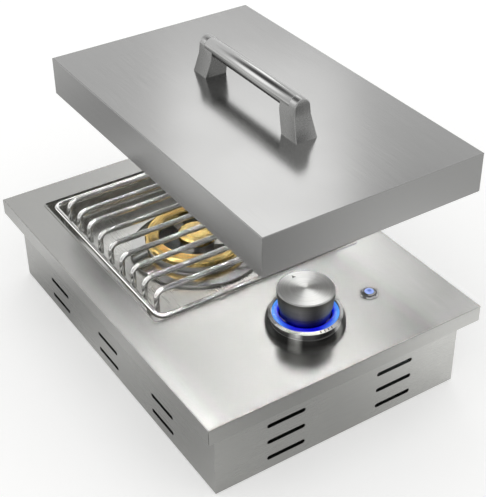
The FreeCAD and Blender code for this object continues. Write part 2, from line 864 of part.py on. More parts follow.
def flat_shaft(radius, flat, z0, z1):
    """A round bar with a flat along its front side."""
    side = box(knob_x - radius, knob_x + radius, knob_y - 2 * radius, knob_y - flat, z0 - 1, z1 + 1)
    return upright(radius, knob_x, knob_y, z0, z1).cut(side)


def valve_stem():
    shoulder = deck_height + knob_hub_rise - rest_gap - collar_t - rest_gap
    round_part = upright(stem_r, knob_x, knob_y, stem_bottom, shoulder)
    return round_part.fuse(flat_shaft(shaft_r, shaft_flat, shoulder, deck_height + knob_top - knob_face - 4))


def stem_collar():
    """The washer between knob and spring; it slides with the stem and doesn't turn."""
    high = deck_height + knob_hub_rise - rest_gap
    ring = upright(valve_neck_r - 1, knob_x, knob_y, high - collar_t, high)
    return ring.cut(upright(shaft_r + fit_gap, knob_x, knob_y, high - 2 * collar_t, high + 1))


def stem_spring():
    low = deck_height + valve_neck_rise
    high = deck_height + knob_hub_rise - rest_gap - collar_t
    mean_r = stem_r + spring_fit
    return coil(knob_x, knob_y, low + fit_gap, high - fit_gap, mean_r, spring_wire_r, stem_spring_turns)


# Gas pipe and inlet

def gas_pipe():
    run = [
        Vector(knob_x + inlet_reach - 7.9, knob_y, gas_z),
        Vector(pipe_x, knob_y, gas_z),
        Vector(pipe_x, half_y - sheet - inlet_hex_length + pipe_socket - 0.1, gas_z),
    ]
    longer = [run[0] - X, run[1], run[2] + Y]
    return bent_rod(run, pipe_r, pipe_bend_r).cut(bent_rod(longer, pipe_r - pipe_wall, pipe_bend_r))


def union_nuts():
    """The two nuts that close the pipe's ends, at the valve and at the inlet."""
    places = [
        (Vector(knob_x + inlet_reach, knob_y, gas_z), X * union_length),
        (Vector(pipe_x, half_y - sheet - inlet_hex_length, gas_z), Y * -union_length),
    ]
    nuts = []
    for at, run in places:
        nuts.append(hexagon(union_hex, at, at + run).cut(rod(pipe_r + 0.02, at - run, at + run * 2)))
    return nuts


def inlet_fitting():
    """The brass bulkhead fitting: hexagon and shank through the wall, then the flared male thread."""
    wall = Vector(pipe_x, half_y - sheet, gas_z)
    inner = wall - Y * inlet_hex_length
    shoulder = Vector(pipe_x, half_y + nut_t, gas_z)
    end = shoulder + Y * inlet_thread
    flare = Part.makeCone(inlet_thread_r - 0.6, flare_r, flare_length, end, Y)
    shank = rod(bulkhead_r, wall, shoulder)
    body = hexagon(inlet_hex, inner, wall).fuse([shank, rod(inlet_thread_r, shoulder, end), flare])
    bore = rod(inlet_bore_r, inner - Y, end + Y * (flare_length + 1))
    return body.cut([bore, rod(pipe_r + 0.02, inner - Y, inner + Y * pipe_socket)])


def inlet_nut():
    wall = Vector(pipe_x, half_y, gas_z)
    nut = hexagon(inlet_hex + 2, wall, wall + Y * nut_t)
    return nut.cut(rod(bulkhead_r + fit_gap, wall - Y, wall + Y * (2 * nut_t)))


# Knob, bezel and light ring

def bezel_floor():
    return bezel_wall - 0.6


def knob_bezel():
    """The flared ring round the knob: screwed-down floor, flank, top face and the light ring's shelf."""
    z = deck_height
    top = z + bezel_height
    shelf = z + light_rise - light_height - board_t
    w = bezel_wall
    lip = bezel_r - bezel_flare
    eye = valve_neck_r + 0.6
    seat = light_outer_r + 0.1
    ring = turned([
        (eye, z), (bezel_r, z), (bezel_r, z + 3.0), (bezel_r - 0.9, z + 6.5), (bezel_r - 1.9, z + 10.0),
        (lip + 0.6, top - 1.2), (lip, top - 0.3), (lip - 0.5, top), (seat + 0.7, top), (seat, top - 0.7),
        (seat, shelf), (light_inner_r, shelf), (light_inner_r, shelf - w), (light_outer_r + w, shelf - w),
        (bezel_r - 2 * w, z + 3.0), (bezel_r - 2 * w, z + bezel_floor()), (eye, z + bezel_floor()),
    ], knob_x, knob_y)
    return ring.cut([upright(screw_r + screw_gap, x, knob_y, z - 1, z + 2 * w) for x in valve_screw_places()])


def light_board():
    low = deck_height + light_rise - light_height - board_t
    ring = upright(light_outer_r, knob_x, knob_y, low, low + board_t)
    return ring.cut(upright(light_inner_r + 0.3, knob_x, knob_y, low - 1, low + board_t + 1))


def light_ring():
    high = deck_height + light_rise
    low = high - light_height
    inner = light_inner_r + 0.3
    return turned([
        (inner, low), (light_outer_r, low), (light_outer_r, high - 1.0), (light_outer_r - 1.2, high - 0.2),
        (light_outer_r - 3.2, high), (inner + 1.7, high), (inner, high - 0.8),
    ], knob_x, knob_y)


def knob_shell():
    """The turned knob: flank drawn in towards its foot, bevelled top edge, hollow, with a flatted hub."""
    top = deck_height + knob_top
    foot = deck_height + knob_foot
    waist = knob_r - knob_taper
    end = knob_r - knob_foot_step
    w = knob_wall
    shell = turned([
        (0, top), (knob_r - knob_edge, top), (knob_r, top - knob_edge), (knob_r, top - 6.0),
        (waist, foot + 10.0), (end, foot + 5.5), (end, foot), (end - w, foot), (end - w, foot + 6.0),
        (waist - w, foot + 10.5), (knob_r - w, top - 6.5),
        (knob_r - w, top - knob_face), (0, top - knob_face),
    ], knob_x, knob_y)
    low = deck_height + knob_hub_rise
    shell = shell.fuse(upright(knob_hub_r, knob_x, knob_y, low, top - knob_face / 2))
    bore = flat_shaft(shaft_r + fit_gap, shaft_flat + fit_gap, low - 1, top - knob_face - 3.9)
    return shell.cut([bore, knob_pointer(2 * pointer_depth)])


def knob_pointer(depth):
    """The inlaid triangle near the knob's far edge, pointing away from the cook."""
    z = deck_height + knob_top - pointer_depth
    reach = knob_y + knob_r - pointer_inset
    half = pointer_size / 2
    corners = [(knob_x, reach + half, z), (knob_x - half, reach - half, z), (knob_x + half, reach - half, z)]
    return face_of(corners).extrude(Z * depth)


# Light button

def button_bezel():
    z = deck_height
    top = z + button_rise
    bore = plunger_r + button_gap
    return turned([
        (bore, z - barrel_length), (barrel_r, z - barrel_length), (barrel_r, z), (button_r, z),
        (button_r, z + 0.8), (button_r - 0.9, top - 0.5), (button_r - 1.8, top), (bore + 1.0, top),
        (bore, top - 0.6),
    ], button_x, knob_y)


def button_nut():
    start = Vector(button_x, knob_y, deck_under - switch_nut_t)
    nut = hexagon(switch_nut_hex, start, start + Z * switch_nut_t)
    return nut.cut(upright(barrel_r + 0.03, button_x, knob_y, 0, deck_height))


def button_plunger():
    top = deck_height + plunger_rise
    return turned([
        (0, top - plunger_length), (plunger_r, top - plunger_length), (plunger_r, top - 1.0),
        (plunger_r - 1.0, top - 0.1), (lens_r, top), (lens_r, top - lens_depth), (0, top - lens_depth),
    ], button_x, knob_y)


def button_lens():
    top = deck_height + plunger_rise
    edge = lens_r - 0.02
    return turned([
        (0, top - lens_depth), (edge, top - lens_depth), (edge, top + 0.1), (lens_r - 1.4, top + 0.45),
        (0, top + 0.6),
    ], button_x, knob_y)


def button_switch():
    """The switch block closing the barrel's lower end, with two tabs for its leads."""
    low = barrel_bottom - switch_drop
    body = upright(barrel_r - 0.6, button_x, knob_y, low, barrel_bottom)
    parts = [upright(plunger_r, button_x, knob_y, barrel_bottom, barrel_bottom + switch_plug)]
    for side in (-1, 1):
        x = button_x + side * 4
        parts.append(box(x - 0.4, x + 0.4, knob_y - 2, knob_y + 2, low - 7, low))
    return body.fuse(parts)


def button_spring():
    low = barrel_bottom + switch_plug + spring_end_gap
    high = deck_height + plunger_rise - plunger_length - spring_end_gap
    return coil(button_x, knob_y, low, high, button_spring_r, spring_wire_r, button_spring_turns)


# Battery holder

def battery_holder():
    """The clip-in holder for two cells, open below."""
    x = cell_length / 2 + cell_gap + holder_wall
    y = 2 * cell_r + 1.5 * cell_gap + holder_wall
    low = deck_under - 2 * cell_r - holder_wall
    body = box(battery_x - x, battery_x + x, knob_y - y, knob_y + y, low, deck_under)
    room = box(battery_x - x + holder_wall, battery_x + x - holder_wall,
               knob_y - y + holder_wall, knob_y + y - holder_wall, low - 1, deck_under - holder_wall)
    return body.cut(room)


def battery_cells():
    z = deck_under - holder_wall - cell_r
    cells = []
    for side in (-1, 1):
        y = knob_y + side * (cell_r + cell_gap / 2)
        half = cell_length / 2
        cell = rod(cell_r, Vector(battery_x - half, y, z), Vector(battery_x + half - 1, y, z))
        tip = rod(2.8, Vector(battery_x, y, z), Vector(battery_x + half, y, z))
        cells.append(cell.fuse(tip))
    return cells


# Lid and handle

def raised(shape):
    """The lid's pieces are drawn on its own origin and stored where the lid is held up."""
    shape.translate(Vector(lid_shift_x, lid_shift_y, lid_base))
    return shape


def lid_shell():
    """The loose lid: folded sheet box, open below, with a doubled hem along its lower edge."""
    x = deck_width / 2 - lid_side_inset
    y = deck_depth / 2 - lid_end_inset
    shell = box(-x, x, -y, y, 0, lid_height)
    shell = shell.makeFillet(fold_r, edges_at(shell, lid_height))
    hollow = box(sheet - x, x - sheet, sheet - y, y - sheet, lid_hem, lid_height - sheet)
    mouth = box(hem_t - x, x - hem_t, hem_t - y, y - hem_t, -1, lid_hem + 1)
    holes = [upright(handle_screw_r + 0.2, 0, side * post_y, 0, 2 * lid_height) for side in (-1, 1)]
    return raised(shell.cut([hollow, mouth] + holes + corner_seams(x, y, 0, lid_height - sheet)))


def handle_post(side):
    """An arched end post, spreading from the bar's width to a wider foot, with a socket for the bar."""
    foot = post_width / 2
    turn = math.atan2(-bar_axis, foot) + math.acos(handle_bar_r / math.hypot(foot, bar_axis))
    tx, tz = on_circle(handle_bar_r, math.degrees(turn), 0, bar_axis)
    y0 = side * post_y - post_depth / 2
    left, right = Vector(-tx, y0, tz), Vector(tx, y0, tz)
    arch = Part.Arc(right, Vector(0, y0, handle_height), left).toShape()
    sides = Part.makePolygon([left, Vector(-foot, y0, 0), Vector(foot, y0, 0), right])
    post = Part.Face(Part.Wire([arch] + sides.Edges)).extrude(Y * post_depth)
    inner = side * (handle_length / 2 - post_depth)
    mouth, end = Vector(0, inner - side, bar_axis), Vector(0, inner + side * bar_tenon, bar_axis)
    socket = rod(bar_tenon_r + fit_gap, mouth, end)
    thread = upright(handle_screw_r, 0, side * post_y, -1, handle_screw_length)
    post = post.cut([socket, thread])
    post.translate(Z * lid_height)
    return raised(post)


def handle_bar():
    half = handle_length / 2 - post_depth
    reach = half + bar_tenon - 0.3
    bar = rod(handle_bar_r, Vector(0, -half, bar_axis), Vector(0, half, bar_axis))
    ends = [e for e in bar.Edges if e.BoundBox.YLength < 0.01]
    bar = bar.makeChamfer(bar_edge, ends)
    bar = bar.fuse(rod(bar_tenon_r, Vector(0, -reach, bar_axis), Vector(0, reach, bar_axis)))
    bar.translate(Z * lid_height)
    return raised(bar)


def handle_screws():
    under = lid_height - sheet
    screws = []
    for side in (-1, 1):
        screw = button_screw(0, side * post_y, under, handle_screw_length, handle_screw_r - 0.02,
                             handle_screw_head, -1)
        screws.append(raised(screw))
    return screws


save("top_deck", top_deck())
save("front_panel", front_panel())
save("rear_panel", rear_panel())
save("left_panel", side_panel(-1))
save("right_panel", side_panel(1))
save("base_panel", base_panel())
save("base_screws", *base_screws())
save("heat_shield", heat_shield())
save("burner_pan", burner_pan())
save("grate_frame", grate_frame())
save("grate_bars", *grate_bars())
save("grate_feet", *grate_feet())
save("burner_bowl", burner_bowl())
save("burner_screws", *burner_screws())
save("outer_flame_ring", outer_flame_ring())
save("inner_flame_cap", inner_flame_cap())
save("spill_ring", spill_ring())
save("mixing_tube", mixing_tube())
save("air_shutter", air_shutter())
save("gas_jet", gas_jet())
save("igniter_ceramic", igniter_ceramic())
save("igniter_electrode", igniter_electrode())
save("valve_body", valve_body())
save("valve_plate", valve_plate())
save("valve_screws", *valve_screws())
save("valve_stem", valve_stem())
save("stem_collar", stem_collar())
save("stem_spring", stem_spring())
save("gas_pipe", gas_pipe())
save("union_nuts", *union_nuts())
save("inlet_fitting", inlet_fitting())
save("inlet_nut", inlet_nut())
save("knob_bezel", knob_bezel())
save("light_board", light_board())
save("light_ring", light_ring())
save("knob_shell", knob_shell())
save("knob_pointer", knob_pointer(pointer_depth))
save("button_bezel", button_bezel())
save("button_nut", button_nut())
save("button_plunger", button_plunger())
save("button_lens", button_lens())
save("button_switch", button_switch())
save("button_spring", button_spring())
save("battery_holder", battery_holder())
save("battery_cells", *battery_cells())
save("lid_shell", lid_shell())
save("handle_bar", handle_bar())
save("handle_post_front", handle_post(-1))
save("handle_post_rear", handle_post(1))
save("handle_screws", *handle_screws())
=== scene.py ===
import json
import math

import bmesh
import bpy
from mathutils import Matrix, Vector

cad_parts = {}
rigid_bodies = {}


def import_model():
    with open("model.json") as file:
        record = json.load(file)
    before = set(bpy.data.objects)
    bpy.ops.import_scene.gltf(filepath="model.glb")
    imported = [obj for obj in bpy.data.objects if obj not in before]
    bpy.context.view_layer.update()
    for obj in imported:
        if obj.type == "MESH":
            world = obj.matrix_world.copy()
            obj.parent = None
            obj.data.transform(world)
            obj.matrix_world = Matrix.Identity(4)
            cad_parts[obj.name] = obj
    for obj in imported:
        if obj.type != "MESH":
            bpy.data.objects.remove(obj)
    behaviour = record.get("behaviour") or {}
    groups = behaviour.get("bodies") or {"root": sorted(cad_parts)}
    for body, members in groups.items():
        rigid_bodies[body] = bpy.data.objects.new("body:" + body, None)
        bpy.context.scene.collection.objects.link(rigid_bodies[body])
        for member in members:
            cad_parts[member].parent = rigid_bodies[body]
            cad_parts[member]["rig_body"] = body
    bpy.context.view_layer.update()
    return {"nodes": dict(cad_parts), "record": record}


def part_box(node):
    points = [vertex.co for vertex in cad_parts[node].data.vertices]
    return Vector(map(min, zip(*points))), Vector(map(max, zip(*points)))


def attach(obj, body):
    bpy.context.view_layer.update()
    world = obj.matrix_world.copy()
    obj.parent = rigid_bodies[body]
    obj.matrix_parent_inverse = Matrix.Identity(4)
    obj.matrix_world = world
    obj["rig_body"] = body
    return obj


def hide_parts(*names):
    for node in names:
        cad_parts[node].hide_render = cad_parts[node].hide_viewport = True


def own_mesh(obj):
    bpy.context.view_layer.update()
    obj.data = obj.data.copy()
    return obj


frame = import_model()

nodes = frame["nodes"]
mm = 0.001

print("frame loaded:", len(nodes), "pieces")


# Camera, at the photograph's angle

view = {
    "place": (-0.59703, -0.97239, 0.93157),
    "turn": 32.611,   # degrees from +Y towards +X
    "dip": 35.573,    # degrees below the horizon
    "roll": -0.69,
    "lens": 83.77,    # millimetres, with the sensor on the frame's long side
    "sensor": 36.0,
    "near": 0.05, "far": 60,   # metres
}


def placeCamera(v):
    data = bpy.data.cameras.new("camera")
    data.lens = v["lens"]
    data.sensor_width = v["sensor"]
    data.clip_start = v["near"]
    data.clip_end = v["far"]
    camera = bpy.data.objects.new("camera", data)
    bpy.context.scene.collection.objects.link(camera)
    turn = Matrix.Rotation(math.radians(-v["turn"]), 4, "Z")
    dip = Matrix.Rotation(math.radians(90 - v["dip"]), 4, "X")
    roll = Matrix.Rotation(math.radians(v["roll"]), 4, "Z")
    camera.matrix_world = Matrix.Translation(v["place"]) @ turn @ dip @ roll
    bpy.context.scene.camera = camera


placeCamera(view)
bpy.context.scene.view_settings.view_transform = "Standard"
print("camera placed")


# Small tools for materials

def linear(colour):
    # an sRGB hex value as linear red, green, blue and alpha
    channels = [int(colour[i:i + 2], 16) / 255 for i in (1, 3, 5)]
    return [c / 12.92 if c <= 0.04045 else ((c + 0.055) / 1.055) ** 2.4 for c in channels] + [1]


def addNode(tree, kind, inputs=None, **settings):
    # adds one node; an input is a value or the socket that it is joined to
    node = tree.nodes.new(kind)
    for name, value in settings.items():
        setattr(node, name, value)
    for socket, value in (inputs or {}).items():
        if isinstance(value, bpy.types.NodeSocket):
            tree.links.new(value, node.inputs[socket])
        else:
            node.inputs[socket].default_value = value
    return node


def newMaterial(name):
    material = bpy.data.materials.new(name)
    material.use_nodes = True
    material.node_tree.nodes.clear()
    return material, material.node_tree


def aroundAxis(tree, place, centre):
    # turns a point into (distance from an upright axis, angle, height), for turned and spun metal
    moved = addNode(tree, "ShaderNodeMapping", {"Vector": place, "Location": [-centre[0], -centre[1], 0]})
    parts = addNode(tree, "ShaderNodeSeparateXYZ", {0: moved.outputs[0]})
    flat = addNode(tree, "ShaderNodeCombineXYZ", {0: parts.outputs[0], 1: parts.outputs[1]})
    reach = addNode(tree, "ShaderNodeVectorMath", {0: flat.outputs[0]}, operation="LENGTH")
    angle = addNode(tree, "ShaderNodeMath", {0: parts.outputs[1], 1: parts.outputs[0]}, operation="ARCTAN2")
    spun = addNode(tree, "ShaderNodeCombineXYZ",
                   {0: reach.outputs["Value"], 1: angle.outputs[0], 2: parts.outputs[2]})
    # the gloss spreads across the brushing, so outwards from the axis
    unit = addNode(tree, "ShaderNodeVectorMath", {0: flat.outputs[0]}, operation="NORMALIZE")
    world = addNode(tree, "ShaderNodeVectorTransform", {0: unit.outputs[0]},
                    vector_type="VECTOR", convert_from="OBJECT", convert_to="WORLD")
    return spun.outputs[0], world.outputs[0]


# where most values of one noise texture lie, and of two added up
noise = {"low": 0.3, "high": 0.7, "sumLow": 0.7, "sumHigh": 1.3}
# the normal's z below which a face counts as upright, and above which as level
lying = {"upright": 0.1, "level": 0.9}


def finish(name, v):
    # one surface from its values. The grain is a cell's size in mm along x, y and z; where there is an axis
    # it is outwards in mm, round in radians and up in mm
    material, tree = newMaterial(name)
    shader = addNode(tree, "ShaderNodeBsdfPrincipled", {
        "Metallic": v.get("metallic", 1.0), "Anisotropic": v.get("anisotropic", 0.0)})
    addNode(tree, "ShaderNodeOutputMaterial", {0: shader.outputs[0]})
    place = addNode(tree, "ShaderNodeTexCoord").outputs["Object"]
    cells = v["grain"]
    if "axis" in v:
        place, tangent = aroundAxis(tree, place, v["axis"])
        tree.links.new(tangent, shader.inputs["Tangent"])
        cells = (cells[0], cells[1] / mm, cells[2])   # an angle is not in mm
    elif "along" in v:
        world = addNode(tree, "ShaderNodeVectorTransform", {0: v["along"]},
                        vector_type="VECTOR", convert_from="OBJECT", convert_to="WORLD")
        tree.links.new(world.outputs[0], shader.inputs["Tangent"])
    scale = [1 / (cell * mm) for cell in cells]
    stretched = addNode(tree, "ShaderNodeMapping", {"Vector": place, "Scale": scale})
    grain = addNode(tree, "ShaderNodeTexNoise", {
        "Vector": stretched.outputs[0], "Scale": 1.0, "Detail": v.get("detail", 3.0), "Roughness": 0.6})
    cloud = addNode(tree, "ShaderNodeTexNoise", {
        "Vector": place, "Scale": 1 / (v.get("cloudSize", 60) * mm), "Detail": 2.0, "Roughness": 0.5})
    spread = v.get("toneSpread", 0.3)
    tone = addNode(tree, "ShaderNodeMapRange", {
        0: grain.outputs[0], 1: noise["low"], 2: noise["high"], 3: 0.5 - spread, 4: 0.5 + spread})
    shade = addNode(tree, "ShaderNodeMix", {
        0: tone.outputs[0], 6: linear(v["dark"]), 7: linear(v["light"])}, data_type="RGBA")
    clouded = addNode(tree, "ShaderNodeMapRange", {
        0: cloud.outputs[0], 1: noise["low"], 2: noise["high"], 3: 0.0, 4: v.get("cloudTone", 0.2)})
    stained = addNode(tree, "ShaderNodeMix", {
        0: clouded.outputs[0], 6: shade.outputs[2], 7: linear(v["dark"])}, data_type="RGBA")
    colour = stained.outputs[2]
    if "paintedSideShade" in v:
        # painted shade: upright faces are made darker than the level faces of the same sheet
        lean = addNode(tree, "ShaderNodeSeparateXYZ", {
            0: addNode(tree, "ShaderNodeTexCoord").outputs["Normal"]})
        flat = addNode(tree, "ShaderNodeMapRange", {
            0: lean.outputs[2], 1: lying["upright"], 2: lying["level"], 3: v["paintedSideShade"], 4: 1.0})
        colour = addNode(tree, "ShaderNodeVectorMath", {
            0: colour, "Scale": flat.outputs[0]}, operation="SCALE").outputs[0]
    tree.links.new(colour, shader.inputs["Base Color"])
    low, high = v["roughness"]
    mixed = addNode(tree, "ShaderNodeMath", {0: grain.outputs[0], 1: cloud.outputs[0]}, operation="ADD")
    rough = addNode(tree, "ShaderNodeMapRange", {
        0: mixed.outputs[0], 1: noise["sumLow"], 2: noise["sumHigh"], 3: low, 4: high})
    tree.links.new(rough.outputs[0], shader.inputs["Roughness"])
    bump = addNode(tree, "ShaderNodeBump", {
        "Height": grain.outputs[0], "Strength": v.get("bump", 0.1), "Distance": v.get("depth", 0.02) * mm})
    tree.links.new(bump.outputs[0], shader.inputs["Normal"])
    return material


# Stage: white floor, soft world light and softboxes

studio = {
    "floorReach": 9.0,
    "floorDrop": 0.0005,      # the floor lies this much below the object, so the two don't share a plane
    "floorColour": "#F2F2F1",
    "floorLift": 0.30,        # what the floor adds for rays that see it directly or in metal
    "worldLight": 0.80,       # strength that lights the object
    # dim and pale parts of the room that only metal sees: degrees from +Y towards +X, degrees up, spread in
    # degrees, and how much darker or brighter
    "roomCards": [(-14, 50, 27, -0.9), (-42, 25, 19, 1.0), (-100, 15, 50, -0.35), (165, 4, 32, -0.75),
                  (43.5, 35.5, 4.5, -0.7)],
    # pale and dark cards that only metal sees: x, y, reach in metres, and how much brighter or darker
    "floorCards": [(0.28, -0.29, 0.28, 0.75), (-0.04, -0.33, 0.16, -0.16), (-0.23, -0.12, 0.18, -0.36),
                   (0.05, -0.56, 0.34, -0.52), (-0.31, 0.55, 0.36, -0.40), (-0.37, 0.34, 0.23, 0.50),
                   (-0.20, 0.16, 0.15, -0.42)],
    "aim": (0.03, 0.02, 0.15),
    "softboxes": {
        # name: degrees from +Y towards +X, degrees up, distance, width, height, watts, and what it
        # lights: all, or past the raised lid the deck and well, the well alone or the knob alone
        "rear_softbox": (34, 38, 3.2, 0.70, 1.10, 2.9, "all"),
        "deck_softbox": (35.5, 41.5, 3.2, 0.95, 0.75, 5.2, "deck"),
        "overhead_fill": (20, 80, 2.4, 3.2, 3.2, 38.0, "deck"),
        "well_fill": (-60, 62, 2.4, 2.2, 2.2, 14.0, "well"),
        "knob_key": (51, 56, 2.4, 0.8, 0.8, 10.0, "knob"),
        "knob_fill": (20, 80, 2.4, 3.2, 3.2, 12.0, "knob"),
        "side_strip": (-128, 24, 2.6, 0.5, 1.6, 1.2, "all"),
    },
}


def addFloor(v):
    mesh = bmesh.new()
    bmesh.ops.create_grid(mesh, x_segments=1, y_segments=1, size=v["floorReach"])
    data = bpy.data.meshes.new("floor")
    mesh.to_mesh(data)
    mesh.free()
    floor = bpy.data.objects.new("floor", data)
    bpy.context.scene.collection.objects.link(floor)
    floor.location.z = -v["floorDrop"]
    # matt white board: it keeps the soft shadow, and the lift makes it white for the eye and for metal
    material, tree = newMaterial("matt_white_board")
    path = addNode(tree, "ShaderNodeLightPath")
    place = addNode(tree, "ShaderNodeTexCoord").outputs["Object"]
    cards = 0.0
    for x, y, reach, change in v["floorCards"]:
        away = addNode(tree, "ShaderNodeVectorMath", {0: place, 1: (x, y, 0)}, operation="DISTANCE")
        card = addNode(tree, "ShaderNodeMapRange", {
            0: away.outputs["Value"], 1: 0.0, 2: reach, 3: change, 4: 0.0}, interpolation_type="SMOOTHSTEP")
        cards = addNode(tree, "ShaderNodeMath", {0: cards, 1: card.outputs[0]}, operation="ADD").outputs[0]
    shown = addNode(tree, "ShaderNodeMath", {
        0: cards, 1: path.outputs["Is Glossy Ray"]}, operation="MULTIPLY")
    tone = addNode(tree, "ShaderNodeMath", {0: shown.outputs[0], 1: 1.0}, operation="ADD")
    board = addNode(tree, "ShaderNodeVectorMath", {
        0: linear(v["floorColour"])[:3], "Scale": tone.outputs[0]}, operation="SCALE")
    matt = addNode(tree, "ShaderNodeBsdfDiffuse", {"Color": board.outputs[0]})
    seen = addNode(tree, "ShaderNodeMath", {
        0: path.outputs["Is Camera Ray"], 1: path.outputs["Is Glossy Ray"]}, operation="MAXIMUM")
    direct = addNode(tree, "ShaderNodeMath", {
        0: seen.outputs[0], 1: path.outputs["Is Transmission Ray"]}, operation="MAXIMUM")
    strength = addNode(tree, "ShaderNodeMath", {
        0: direct.outputs[0], 1: v["floorLift"]}, operation="MULTIPLY")
    toned = addNode(tree, "ShaderNodeMath", {
        0: strength.outputs[0], 1: tone.outputs[0]}, operation="MULTIPLY")
    lift = addNode(tree, "ShaderNodeEmission", {"Color": (1, 1, 1, 1), "Strength": toned.outputs[0]})
    both = addNode(tree, "ShaderNodeAddShader", {0: matt.outputs[0], 1: lift.outputs[0]})
    addNode(tree, "ShaderNodeOutputMaterial", {0: both.outputs[0]})
    data.materials.append(material)


def towards(turn, rise):
    # the direction so many degrees from +Y towards +X and so many up
    t, r = math.radians(turn), math.radians(rise)
    return Vector((math.sin(t) * math.cos(r), math.cos(t) * math.cos(r), math.sin(r)))


def lightWorld(v):
    world = bpy.data.worlds.new("studio")
    bpy.context.scene.world = world
    world.use_nodes = True
    tree = world.node_tree
    tree.nodes.clear()
    path = addNode(tree, "ShaderNodeLightPath")
    place = addNode(tree, "ShaderNodeTexCoord").outputs["Generated"]
    room = 1.0
    for turn, rise, spread, change in v["roomCards"]:
        side = addNode(tree, "ShaderNodeVectorMath", {
            0: place, 1: towards(turn, rise)}, operation="DOT_PRODUCT")
        card = addNode(tree, "ShaderNodeMapRange", {
            0: side.outputs["Value"], 1: math.cos(math.radians(spread)), 2: 1.0, 3: 0.0, 4: change},
            interpolation_type="SMOOTHSTEP")
        room = addNode(tree, "ShaderNodeMath", {0: room, 1: card.outputs[0]}, operation="ADD").outputs[0]
    lit = addNode(tree, "ShaderNodeMix", {
        0: path.outputs["Is Glossy Ray"], 2: v["worldLight"], 3: room}, data_type="FLOAT")
    clear = addNode(tree, "ShaderNodeMath", {
        0: path.outputs["Is Camera Ray"], 1: path.outputs["Is Transmission Ray"]}, operation="MAXIMUM")
    strength = addNode(tree, "ShaderNodeMath", {0: lit.outputs[0], 1: clear.outputs[0]}, operation="MAXIMUM")
    sky = addNode(tree, "ShaderNodeBackground", {"Color": (1, 1, 1, 1), "Strength": strength.outputs[0]})
    addNode(tree, "ShaderNodeOutputWorld", {0: sky.outputs[0]})


def addSoftboxes(v):
    aim = Vector(v["aim"])
    lamps = []
    for name, (turn, rise, distance, width, height, watts, lights) in v["softboxes"].items():
        data = bpy.data.lights.new(name, "AREA")
        data.shape = "RECTANGLE"
        data.size = width
        data.size_y = height
        data.energy = watts
        lamp = bpy.data.objects.new(name, data)
        bpy.context.scene.collection.objects.link(lamp)
        out = towards(turn, rise)
        lamp.location = aim + out * distance
        lamp.rotation_euler = out.to_track_quat("Z", "Y").to_euler()
        lamps.append((lamp, lights))
    return lamps


def shinePastLid(lamps, groups):
    # these lamps are blocked by everything but the raised lid and its handle
    collections = {}
    for group, pieces in groups.items():
        collections[group] = bpy.data.collections.new("lit_" + group)
        for piece in pieces:
            collections[group].objects.link(piece)
    for lamp, lights in lamps:
        if lights in collections:
            # a linked lamp is too dim with this on
            lamp.data.cycles.use_multiple_importance_sampling = False
            lamp.light_linking.receiver_collection = collections[lights]
            lamp.light_linking.blocker_collection = collections["below_lid"]


addFloor(studio)
lightWorld(studio)
lamps = addSoftboxes(studio)
print("stage and lights placed")


# Places read from the frame

def middle(name):
    low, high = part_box(name)
    return (low + high) / 2


def halfWidth(name):
    low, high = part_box(name)
    return (high.x - low.x) / 2


knobAxis = middle("knob_shell")
buttonAxis = middle("button_bezel")
burnerAxis = middle("burner_bowl")


# Sheet metals

# Type 430 stainless sheet, brushed along its length: satin grey, soft mirror with faint lines
deckSheet = finish("brushed_stainless_deck", {
    "dark": "#9C9C9A", "light": "#A9A9A6", "roughness": (0.19, 0.27), "grain": (0.5, 40, 0.5),
    "anisotropic": 0.15, "along": (0, 1, 0), "bump": 0.08, "depth": 0.01, "cloudSize": 90, "cloudTone": 0.15,
    # painted shade on the deck's upright skirts
    "paintedSideShade": 0.92,
})
# the same sheet on the lid, with a finer polish that shows the handle as in a dull mirror
lidSheet = finish("satin_stainless_lid", {
    "dark": "#989897", "light": "#A5A5A4", "roughness": (0.17, 0.24), "grain": (0.5, 60, 0.5),
    "anisotropic": 0.1, "along": (0, 1, 0), "bump": 0.05, "depth": 0.01, "cloudSize": 120, "cloudTone": 0.12,
    # painted shade on the lid's upright sides
    "paintedSideShade": 0.8,
})
wallSheet = finish("brushed_stainless_walls", {
    "dark": "#9A9A98", "light": "#AAAAA7", "roughness": (0.24, 0.34), "grain": (30, 30, 0.5),
    "anisotropic": 0.2, "along": (0, 0, 1), "bump": 0.08, "depth": 0.01, "cloudSize": 70, "cloudTone": 0.2,
})
# plain mill-finish stainless for the well's liner: greyer and duller than the deck
panSheet = finish("mill_finish_stainless_liner", {
    "dark": "#B2B2AF", "light": "#C6C6C2", "roughness": (0.24, 0.34), "grain": (0.6, 30, 0.6),
    "bump": 0.05, "depth": 0.01, "cloudSize": 60, "cloudTone": 0.25,
})
# galvanised steel sheet: dull zinc grey with crystal spangle
zincSheet = finish("galvanised_steel", {
    "dark": "#8E9294", "light": "#AEB2B3", "roughness": (0.38, 0.55), "grain": (9, 9, 9), "detail": 0.5,
    "toneSpread": 0.5, "bump": 0.05, "depth": 0.02, "cloudSize": 25, "cloudTone": 0.4,
})
# mirror-polished stainless for the spill ring: clear dark and light bands
brightSheet = finish("polished_stainless_ring", {
    "dark": "#BDBDBB", "light": "#CBCBC9", "roughness": (0.06, 0.12), "grain": (0.4, 0.4, 0.4),
    "axis": burnerAxis, "anisotropic": 0.3, "bump": 0.04, "depth": 0.01, "cloudTone": 0.1,
})

# Rods, castings and turned pieces

# electropolished stainless rod: light core with dark edges
rodSteel = finish("electropolished_rod", {
    "dark": "#D4D4D2", "light": "#E0E0DE", "roughness": (0.13, 0.17), "grain": (8, 8, 8), "detail": 1.0,
    "bump": 0.01, "depth": 0.01, "cloudSize": 40, "cloudTone": 0.1,
})
# zinc-plated steel screws: cool grey, slightly grainy
screwSteel = finish("zinc_plated_screws", {
    "dark": "#9DA1A3", "light": "#C2C6C8", "roughness": (0.22, 0.36), "grain": (0.8, 0.8, 0.8),
    "bump": 0.15, "depth": 0.02, "cloudSize": 5, "cloudTone": 0.2,
})
